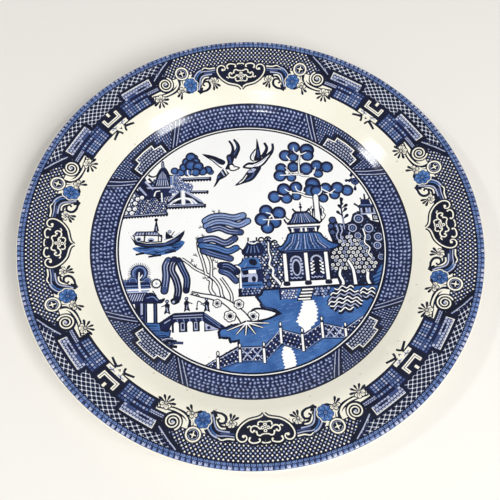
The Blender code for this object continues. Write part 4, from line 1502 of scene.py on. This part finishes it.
def walker(sheet, x, y, flip):
    """A tiny generic figure in a long coat, seen as a dark shape."""
    one = Sheet()
    one.blob(INK, [(-1.3, 0.0), (-1.0, 2.6), (-1.2, 4.6), (0.0, 5.6), (1.1, 4.8), (0.9, 2.8),
                   (1.5, 0.2), (0.1, 0.8)])
    one.line(LILAC, [(-0.2, 1.2), (0.2, 3.4)], 0.6, 0.4)
    one.line(INK, [(0.6, 4.6), (2.8, 3.8)], 0.7, 0.4)
    one.rosette(0.0, 6.4, (INK, 0.95), (LILAC, 0.45), count=9)
    sheet.add(one, placed(x, y, 0.0, 1.2, flip))


def bridge(sheet):
    """The three-arched bridge with three small figures."""
    sheet.edged(NAVY, BLUE, [(-62.0, -44.8), (-53.0, -45.4), (-47.6, -50.0), (-48.4, -53.4),
                             (-56.0, -54.0)], 0.8)
    for step in range(5):
        sheet.line((NAVY, DUSK)[step % 2], [(-60.4 + 1.4 * step, -46.6 - 1.5 * step),
                                            (-54.6 + 1.3 * step, -47.0 - 1.4 * step)], 0.85, 0.4)
    for x, y, flip in ((-49.2, -40.6, True), (-38.4, -39.6, False), (-27.2, -40.4, True)):
        walker(sheet, x, y, flip)
    sheet.line(INK, [(-37.6, -31.0), (-39.2, -39.0)], 0.5)
    sheet.curve(INK, [(-28.2, -37.0), (-31.8, -33.6), (-32.8, -37.8)], 0.6)
    sheet.dot(INK, -32.8, -38.2, 0.7)
    deck = [(-53.4, -45.4), (-47.6, -41.6), (-45.4, -40.4), (-29.4, -40.4), (-17.4, -49.8),
            (-20.6, -50.6), (-30.0, -45.8), (-47.0, -45.4), (-49.0, -50.4), (-52.6, -49.6)]
    sheet.fill(INK, [(-47.0, -44.0), (-28.8, -44.0), (-28.8, -51.2), (-47.0, -51.2)])
    sheet.edged(INK, NAVY, deck, 0.9)
    for left, right in ((-45.2, -43.6), (-37.8, -36.0), (-31.0, -29.6)):
        middle = (left + right) / 2.0
        half = (right - left) / 2.0 + 0.55
        sheet.fill(GLAZE, np.concatenate([arc(middle, -46.6, half, 0, 180, 8),
                                          [(middle - half, -51.8), (middle + half, -51.8)]]))
    for left, right in ((-42.4, -39.4), (-35.0, -32.4)):
        sheet.edged(INK, LILAC, box(left, right, -50.8, -45.4), 0.8)
        sheet.fill(NAVY, box(left + 0.8, right - 0.8, -49.6, -46.2))
    sheet.edged(INK, LILAC, [(-28.8, -46.2), (-20.8, -50.8), (-28.8, -51.2)], 0.8)
    sheet.dot(NAVY, -26.6, -49.4, 1.0)
    for y in (-41.7, -43.2):
        sheet.line(LILAC, [(-46.0, y), (-29.8, y)], 0.36)
        sheet.line(SKY, [(-28.6, y + 0.4), (-20.2, y - 6.6)], 0.4)
    for step in range(5):
        x = -44.0 + 3.4 * step
        sheet.line(SKY, [(x, -43.6), (x + 0.6, -45.4)], 0.5)
    sheet.line(LILAC, [(-51.0, -45.6), (-47.6, -43.6)], 0.5)


def fluffy_tree(sheet):
    """The tree with a hairy edge behind the gatehouse."""
    for x, y, radius, count in ((-72.4, -21.8, 2.8, 18), (-64.6, -15.2, 5.0, 34), (-55.2, -22.0, 2.6, 18),
                                (-60.4, -20.4, 2.4, 14), (-68.2, -20.0, 2.8, 16)):
        for index in range(count):
            angle = math.tau * index / count
            sheet.line((NAVY, DUSK)[index % 2], [(x + radius * 0.8 * math.cos(angle),
                                                  y + radius * 0.8 * math.sin(angle)),
                                                 (x + radius * 1.3 * math.cos(angle + 0.2),
                                                  y + radius * 1.3 * math.sin(angle + 0.2))], 0.6, 0.25)
        sheet.rosette(x, y, (NAVY, radius), (SKY, radius * 0.82), (DUSK, radius * 0.62), count=20)
    sheet.blob(NAVY, [(-65.6, -19.4), (-66.6, -15.0), (-65.0, -12.2), (-62.6, -13.0),
                      (-61.8, -16.0), (-63.4, -19.0)])
    sheet.rosette(-55.0, -22.0, (INK, 2.9), (GLAZE, 2.1), (LILAC, 0.7), count=14)
    sheet.fill(NAVY, [(-73.0, -24.6), (-58.0, -24.6), (-59.0, -21.0), (-71.6, -20.4)])
    for y in (-22.8, -24.4, -26.0):
        sheet.line(SKY, [(-73.4, y), (-59.0, y)], 0.7)
    sheet.curve(GLAZE, [(-64.6, -14.6), (-64.8, -19.4), (-64.2, -26.4)], 0.6, 1.4)
    sheet.line(GLAZE, [(-64.2, -18.4), (-62.8, -16.4)], 0.6)


def gatehouse(sheet):
    """The gatehouse at the left end of the bridge."""
    fluffy_tree(sheet)
    sheet.fill(NAVY, [(-74.0, -26.6), (-60.0, -26.6), (-60.6, -33.2), (-71.6, -33.2)])
    for step in range(9):
        x = -71.6 + 1.35 * step
        sheet.line(LILAC, [(x - 1.0, -31.8), (x + 0.8, -27.6)], 0.55)
    sheet.line(LILAC, [(-72.6, -26.7), (-60.0, -26.7)], 0.5)
    sheet.fill(NAVY, [(-71.6, -33.2), (-61.0, -33.2), (-61.0, -45.0), (-66.0, -45.0)])
    sheet.fill(GLAZE, [(-68.6, -33.6), (-67.2, -33.6), (-66.6, -40.0), (-68.0, -39.0)])
    sheet.fill(LILAC, box(-63.9, -62.7, -40.0, -33.4))
    sheet.fill(INK, box(-66.8, -64.2, -40.4, -34.2))
    sheet.line(SKY, [(-68.2, -41.6), (-62.6, -41.6)], 0.6)
    for step in range(3):
        sheet.line(DUSK, [(-66.6 + step, -42.6 - 0.8 * step), (-62.6, -42.6 - 0.8 * step)], 0.5)
    sheet.fill(NAVY, box(-62.4, -54.6, -45.2, -30.0))
    for left, right in ((-62.4, -60.2), (-57.0, -54.6)):
        sheet.fill(INK, box(left, right, -45.2, -31.4))
        sheet.line(DUSK, [((left + right) / 2, -44.8), ((left + right) / 2, -32.4)], 0.5)
    sheet.fill(GLAZE, np.concatenate([arc(-58.6, -34.0, 1.65, 0, 180, 9),
                                      [(-60.2, -45.6), (-56.9, -45.6)]]))
    sheet.edged(INK, NAVY, smooth([(-61.8, -29.0), (-58.6, -27.4), (-55.6, -29.2), (-53.6, -31.8),
                                   (-50.6, -31.2), (-52.0, -33.4), (-55.0, -33.6), (-61.6, -33.0)],
                                  True), 0.6)
    sheet.curve(SKY, [(-60.6, -30.4), (-57.0, -29.8), (-54.4, -32.2)], 0.6)
    sheet.dot(INK, -57.4, -28.0, 0.8)
    sheet.curve(INK, [(-57.2, -26.2), (-55.0, -29.6)], 0.6)
    for left, right, y, tone in ((-55.6, -46.4, -54.8, LILAC), (-54.4, -44.4, -56.2, NAVY),
                                 (-52.4, -40.8, -57.4, DUSK), (-50.6, -44.2, -59.4, INK)):
        wave = [(left, y + 0.5), (left * 0.7 + right * 0.3, y - 0.4), (left * 0.4 + right * 0.6, y + 0.4),
                (right, y)]
        sheet.curve(INK, wave, 2.0, 1.5)
        sheet.curve(tone, wave, 0.8, 0.5)


def centre_scene(sheet):
    """The landscape inside the well: a generic garden-and-bridge scene."""
    for draw in (far_island, hut, boat, left_bird, right_bird, garden, waterside, teahouse, fruit_tree,
                 pagoda, ground, rock_ridges, main_roof, house, paths, fence, gatehouse, bridge, willow):
        draw(sheet)


# --------------------------------------------------------------------------
# Materials
# --------------------------------------------------------------------------
CREAM = (0.86, 0.83, 0.71)
WHITE = (0.90, 0.90, 0.89)       # the well's colour; it turns to CREAM towards the rim
CLAY = (0.80, 0.72, 0.58)
INK_COLOURS = {
    INK: ((0.003, 0.004, 0.012), (0.009, 0.013, 0.038)),
    NAVY: ((0.004, 0.006, 0.030), (0.013, 0.021, 0.080)),
    DUSK: ((0.030, 0.052, 0.150), (0.066, 0.100, 0.245)),
    BLUE: ((0.018, 0.070, 0.240), (0.070, 0.180, 0.440)),
    SKY: ((0.100, 0.165, 0.370), (0.200, 0.290, 0.530)),
    LILAC: ((0.300, 0.345, 0.540), (0.500, 0.540, 0.690)),
}
TONE_NAMES = {INK: "cobalt_black", NAVY: "cobalt_dark", DUSK: "cobalt_dusk",
              BLUE: "cobalt_wash", SKY: "cobalt_light", LILAC: "cobalt_pale"}


def add_node(tree, kind, **settings):
    """A new shader node with its settings."""
    node = tree.nodes.new(kind)
    for name, value in settings.items():
        setattr(node, name, value)
    return node


def set_inputs(node, **values):
    """Constants on a node's sockets, each named with underscores for its spaces."""
    for name, value in values.items():
        node.inputs[name.replace("_", " ")].default_value = value


def new_material(name):
    """A material, its node tree and its shader."""
    material = bpy.data.materials.new(name)
    material.use_nodes = True
    tree = material.node_tree
    return material, tree, tree.nodes["Principled BSDF"]


def relief(tree, height, strength, distance, normal):
    """A fine bump that feeds one of the shader's normals."""
    bump = add_node(tree, "ShaderNodeBump")
    set_inputs(bump, Strength=strength, Distance=distance)
    tree.links.new(height, bump.inputs["Height"])
    tree.links.new(bump.outputs["Normal"], normal)


def noise(tree, place, scale, detail):
    """A noise texture's value output; scale is in features per metre."""
    texture = add_node(tree, "ShaderNodeTexNoise")
    set_inputs(texture, Scale=scale, Detail=detail)
    tree.links.new(place, texture.inputs["Vector"])
    return texture.outputs["Fac"]


def ramp(tree, value, stops):
    """A colour ramp over (position, colour) stops."""
    curve = add_node(tree, "ShaderNodeValToRGB")
    elements = curve.color_ramp.elements
    elements[0].position, elements[0].color = stops[0][0], (*stops[0][1], 1.0)
    elements[1].position, elements[1].color = stops[-1][0], (*stops[-1][1], 1.0)
    for position, colour in stops[1:-1]:
        elements.new(position).color = (*colour, 1.0)
    tree.links.new(value, curve.inputs["Fac"])
    return curve.outputs["Color"]


def blend(tree, factor, first, second, mode="MIX"):
    """A colour mix; factor may be a number or a socket."""
    mix = add_node(tree, "ShaderNodeMix", data_type="RGBA", blend_type=mode)
    if isinstance(factor, float):
        mix.inputs[0].default_value = factor
    else:
        tree.links.new(factor, mix.inputs[0])
    tree.links.new(first, mix.inputs[6])
    tree.links.new(second, mix.inputs[7])
    return mix.outputs[2]


def glazed(name, colour_of):
    """A glossy glaze over whatever colour_of(tree, place) paints."""
    material, tree, shader = new_material(name)
    place = add_node(tree, "ShaderNodeTexCoord").outputs["Object"]
    tree.links.new(colour_of(tree, place), shader.inputs["Base Color"])
    set_inputs(shader, Roughness=0.45, Specular_IOR_Level=0.08,
               Coat_Weight=0.60, Coat_Roughness=0.09, Coat_IOR=1.50)
    relief(tree, noise(tree, place, 70.0, 1.0), 0.10, 0.0004, shader.inputs["Coat Normal"])
    return material


def print_material(tone):
    """One tone of the print: an uneven wash with a fine grain over it."""
    deep, pale = INK_COLOURS[tone]

    def colour_of(tree, place):
        wash = ramp(tree, noise(tree, place, 110.0, 4.0), [(0.40, deep), (0.60, pale)])
        grain = ramp(tree, noise(tree, place, 1500.0, 2.0), [(0.30, deep), (0.70, pale)])
        return blend(tree, 0.5, wash, grain)
    return glazed(TONE_NAMES[tone], colour_of)


def cream_material(name):
    """Bare glaze over cream clay, with faint clouding and a few iron specks."""
    def colour_of(tree, place):
        reach = add_node(tree, "ShaderNodeVectorMath", operation="LENGTH")
        tree.links.new(place, reach.inputs[0])
        # whiter within 78 mm of the middle, creamier beyond 94 mm, by distance from the middle
        body = ramp(tree, reach.outputs["Value"], [(0.078, WHITE), (0.094, CREAM)])
        cloud = ramp(tree, noise(tree, place, 28.0, 3.0),
                     [(0.35, (0.965, 0.960, 0.945)), (0.65, (1.0, 1.0, 1.0))])
        body = blend(tree, 1.0, body, cloud, "MULTIPLY")
        speck = ramp(tree, noise(tree, place, 420.0, 1.0),
                     [(0.0, (1.0, 1.0, 1.0)), (0.765, (1.0, 1.0, 1.0)), (0.80, (0.62, 0.52, 0.40))])
        return blend(tree, 1.0, body, speck, "MULTIPLY")
    return glazed(name, colour_of)


def clay_material():
    """The bare, slightly gritty biscuit clay of the foot's dry edge."""
    material, tree, shader = new_material("biscuit_clay")
    place = add_node(tree, "ShaderNodeTexCoord").outputs["Object"]
    grit = noise(tree, place, 2600.0, 4.0)
    tree.links.new(ramp(tree, grit, [(0.3, (0.66, 0.58, 0.45)), (0.7, CLAY)]),
                   shader.inputs["Base Color"])
    set_inputs(shader, Roughness=0.85)
    relief(tree, grit, 0.35, 0.0002, shader.inputs["Normal"])
    return material


# --------------------------------------------------------------------------
# Pieces
# --------------------------------------------------------------------------
FLAT_SPACING = 8.0             # distance between the grid points that keep triangles
RING_SPACING = 2.6             # small: on the flat well, on the ring's curve and
RIM_SPACING = 2.8              # on the rim
TURN_STEPS = 360               # facets round a turned piece


def printed_well(materials):
    """The flat centre and the ring, one transfer-printed face."""
    sheet = Sheet()
    centre_scene(sheet)
    sheet.line(GLAZE, ellipse(0.0, 0.0, (WELL_EDGE + RING_INNER) / 2.0, count=CIRCLE_POINTS),
               RING_INNER - WELL_EDGE, closed=True)
    ring_border(sheet)
    border = ellipse(0.0, 0.0, RING_OUTER, count=TURN_STEPS)
    spare = (polar_grid(4.0, WELL_EDGE, FLAT_SPACING)
             + polar_grid(WELL_EDGE, RING_OUTER, RING_SPACING))
    verts, tris, tone_of = inlay(sheet, border, spare)
    return face_mesh("printed_well", verts, tris, tone_of, materials)


def printed_rims(materials):
    """Four equal quarters of the rim border, from the ring to the lip."""
    sheet = quarter_border()
    angles = np.linspace(-HALF_QUARTER, HALF_QUARTER, TURN_STEPS // 4 + 1)
    border = polar([(angle, RING_OUTER) for angle in angles]
                   + [(angle, PRINT_EDGE) for angle in angles[::-1]])
    spare = polar_grid(RING_OUTER, PRINT_EDGE, RIM_SPACING, -HALF_QUARTER + 0.8, HALF_QUARTER - 0.8)
    verts, tris, tone_of = inlay(sheet, border, spare)
    pieces = []
    for index, side in enumerate(("top", "left", "bottom", "right")):
        pieces.append(face_mesh("printed_rim_" + side, verts, tris, tone_of, materials,
                                math.radians(90.0 * index)))
    return pieces


def finished_mesh(name, work, material):
    """A mesh of one material from a bmesh that is done with."""
    mesh = bpy.data.meshes.new(name)
    work.to_mesh(mesh)
    work.free()
    mesh.materials.append(material)
    return mesh


def turned(name, outline, material):
    """A smooth surface of revolution round Z; outline is (r, z) in mm."""
    work = bmesh.new()
    rows = []
    for radius, height in outline:
        if radius < 1e-6:
            rows.append([work.verts.new((0.0, 0.0, height * MM))] * TURN_STEPS)
            continue
        rows.append([work.verts.new((radius * MM * math.sin(math.tau * step / TURN_STEPS),
                                     radius * MM * math.cos(math.tau * step / TURN_STEPS),
                                     height * MM)) for step in range(TURN_STEPS)])
    for upper, lower in zip(rows, rows[1:]):
        for step in range(TURN_STEPS):
            after = (step + 1) % TURN_STEPS
            corners = [upper[step], upper[after], lower[after], lower[step]]
            work.faces.new(list(dict.fromkeys(corners)))
    bmesh.ops.recalc_face_normals(work, faces=work.faces)
    for face in work.faces:
        face.smooth = True
    mesh = finished_mesh(name, work, material)
    mesh.set_sharp_from_angle(angle=math.radians(50.0))
    return new_object(name, mesh)


def outline_after(radius):
    """The plate's outline from a radius on the lip's top to the glaze line."""
    fine = plate_outline(math.radians(4.0))
    tip = max(range(len(fine)), key=lambda index: fine[index][0])
    rest = [point for index, point in enumerate(fine) if index >= tip or point[0] > radius + 0.05]
    return [(radius, float(face_height(radius)))] + rest


def back_glaze(material):
    """The bare lip, the back and the foot's outer wall, with a rolled edge of glaze."""
    outline = outline_after(PRINT_EDGE)
    roll = [(FOOT_OUTER_RADIUS - ROLL_BULGE, ROLL_MIDDLE_Z), (FOOT_OUTER_RADIUS - GLAZE_SHOW, ROLL_END_Z)]
    return turned("lip_and_back_glaze", outline + roll, material)


def foot_ring(material):
    """The wiped, unglazed edge that the plate stands on."""
    outer = FOOT_OUTER_RADIUS - GLAZE_SHOW
    inner = FOOT_INNER_RADIUS + GLAZE_SHOW
    outline = rounded_outline([(outer, ROLL_END_Z), (outer, 0.0, FOOT_EDGE_CURVE),
                               (inner, 0.0, FOOT_EDGE_CURVE), (inner, ROLL_END_Z)], math.radians(15.0))
    return turned("bare_foot_ring", outline, material)


def recess_glaze(material):
    """The glazed recess inside the foot ring."""
    roll = [(FOOT_INNER_RADIUS + GLAZE_SHOW, ROLL_END_Z), (FOOT_INNER_RADIUS + ROLL_BULGE, ROLL_MIDDLE_Z)]
    outline = rounded_outline([(FOOT_INNER_RADIUS, GLAZE_LINE_Z),
                               (FOOT_INNER_RADIUS - FOOT_TAPER, RECESS_Z, FOOT_ROOT_CURVE),
                               (0.0, RECESS_Z)], math.radians(8.0))
    steps = 8
    inward = [(outline[-2][0] * (1.0 - step / steps), RECESS_Z) for step in range(1, steps)]
    return turned("underside_glaze_skin", roll + outline[:-1] + inward + [outline[-1]], material)


# --------------------------------------------------------------------------
# Floor, light and camera
# --------------------------------------------------------------------------
CAMERA_DISTANCE = 0.439
CAMERA_ELEVATION = math.radians(66.84)
CAMERA_AZIMUTH = math.radians(-96.5)
CAMERA_ROLL = math.radians(3.2)
CAMERA_LENS = 53.9
CAMERA_SENSOR = 36.0
CAMERA_SHIFT = (-0.0024, -0.0040)
FLOOR_SIZE = 30.0              # large enough to reach the horizon from low views
FLOOR_COLOUR = (0.82, 0.795, 0.75)
WORLD_STRENGTH = 0.75
AREA_LIGHTS = (                # name, place, aim, size, watts; the glints mirror in the cavetto
    ("key", (0.40, -0.80, 0.95), (0.0, -0.10, 0.0), (0.6, 0.6), 9.6),
    ("left_glint", (0.50, -0.38, 1.10), (-0.05, 0.08, 0.0), (0.30, 0.11), 2.4),
    ("right_glint", (-0.71, -0.06, 1.04), (0.07, 0.05, 0.0), (0.17, 0.12), 2.2),
    ("top_glint", (-0.07, -0.43, 1.20), (0.0, 0.08, 0.0), (0.12, 0.05), 0.8),
)


def floor():
    """The pale matt floor that the plate stands on."""
    material, _, shader = new_material("pale_floor")
    set_inputs(shader, Base_Color=(*FLOOR_COLOUR, 1.0), Roughness=0.6)
    work = bmesh.new()
    bmesh.ops.create_grid(work, x_segments=1, y_segments=1, size=FLOOR_SIZE)
    new_object("floor", finished_mesh("floor", work, material))


def area_light(name, place, aim, size, watts):
    """A soft elliptical light pointed at a spot."""
    light = bpy.data.lights.new(name, "AREA")
    light.shape = "ELLIPSE"
    light.size = size[0]
    light.size_y = size[1]
    light.energy = watts
    obj = new_object(name, light)
    obj.location = place
    obj.rotation_euler = (Vector(aim) - Vector(place)).to_track_quat("-Z", "Y").to_euler()


def lights():
    """A pale studio dome, darker overhead, with the area lights."""
    world = bpy.data.worlds.new("studio")
    world.use_nodes = True
    tree = world.node_tree
    shade = tree.nodes["Background"]
    height = add_node(tree, "ShaderNodeSeparateXYZ")
    tree.links.new(add_node(tree, "ShaderNodeTexCoord").outputs["Generated"], height.inputs["Vector"])
    sky = ramp(tree, height.outputs["Z"], [(0.0, (1.0, 0.99, 0.97)), (0.55, (0.80, 0.80, 0.80)),
                                           (0.92, (0.30, 0.30, 0.31))])
    tree.links.new(sky, shade.inputs["Color"])
    set_inputs(shade, Strength=WORLD_STRENGTH)
    bpy.context.scene.world = world
    for light in AREA_LIGHTS:
        area_light(*light)
    bpy.context.scene.view_settings.view_transform = "Standard"


def camera():
    """The photograph's viewpoint, aimed at the middle of the plate's foot."""
    data = bpy.data.cameras.new("camera")
    data.lens = CAMERA_LENS
    data.sensor_width = CAMERA_SENSOR
    data.shift_x = CAMERA_SHIFT[0]
    data.shift_y = CAMERA_SHIFT[1]
    obj = new_object("camera", data)
    flat = CAMERA_DISTANCE * math.cos(CAMERA_ELEVATION)
    place = Vector((flat * math.cos(CAMERA_AZIMUTH), flat * math.sin(CAMERA_AZIMUTH),
                    CAMERA_DISTANCE * math.sin(CAMERA_ELEVATION)))
    look = (-place).to_track_quat("-Z", "Y").to_matrix().to_4x4()
    obj.matrix_world = Matrix.Translation(place) @ look @ Matrix.Rotation(CAMERA_ROLL, 4, "Z")
    bpy.context.scene.camera = obj


def main():
    """Build everything, hang the pieces under the root body and hide the CAD parts that they replace."""
    camera()
    lights()
    floor()
    inks = [cream_material("bare_glaze")] + [print_material(tone) for tone in range(INK, LILAC + 1)]
    cream = cream_material("cream_glaze")
    face = [printed_well(inks)] + printed_rims(inks)
    back = back_glaze(cream)
    foot = foot_ring(clay_material())
    recess = recess_glaze(cream)
    for piece in face + [back, foot, recess]:
        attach(piece, "root")
    for piece in face + [back]:
        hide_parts("main_glaze")
    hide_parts("biscuit_body")
    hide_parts("underside_glaze")


main()
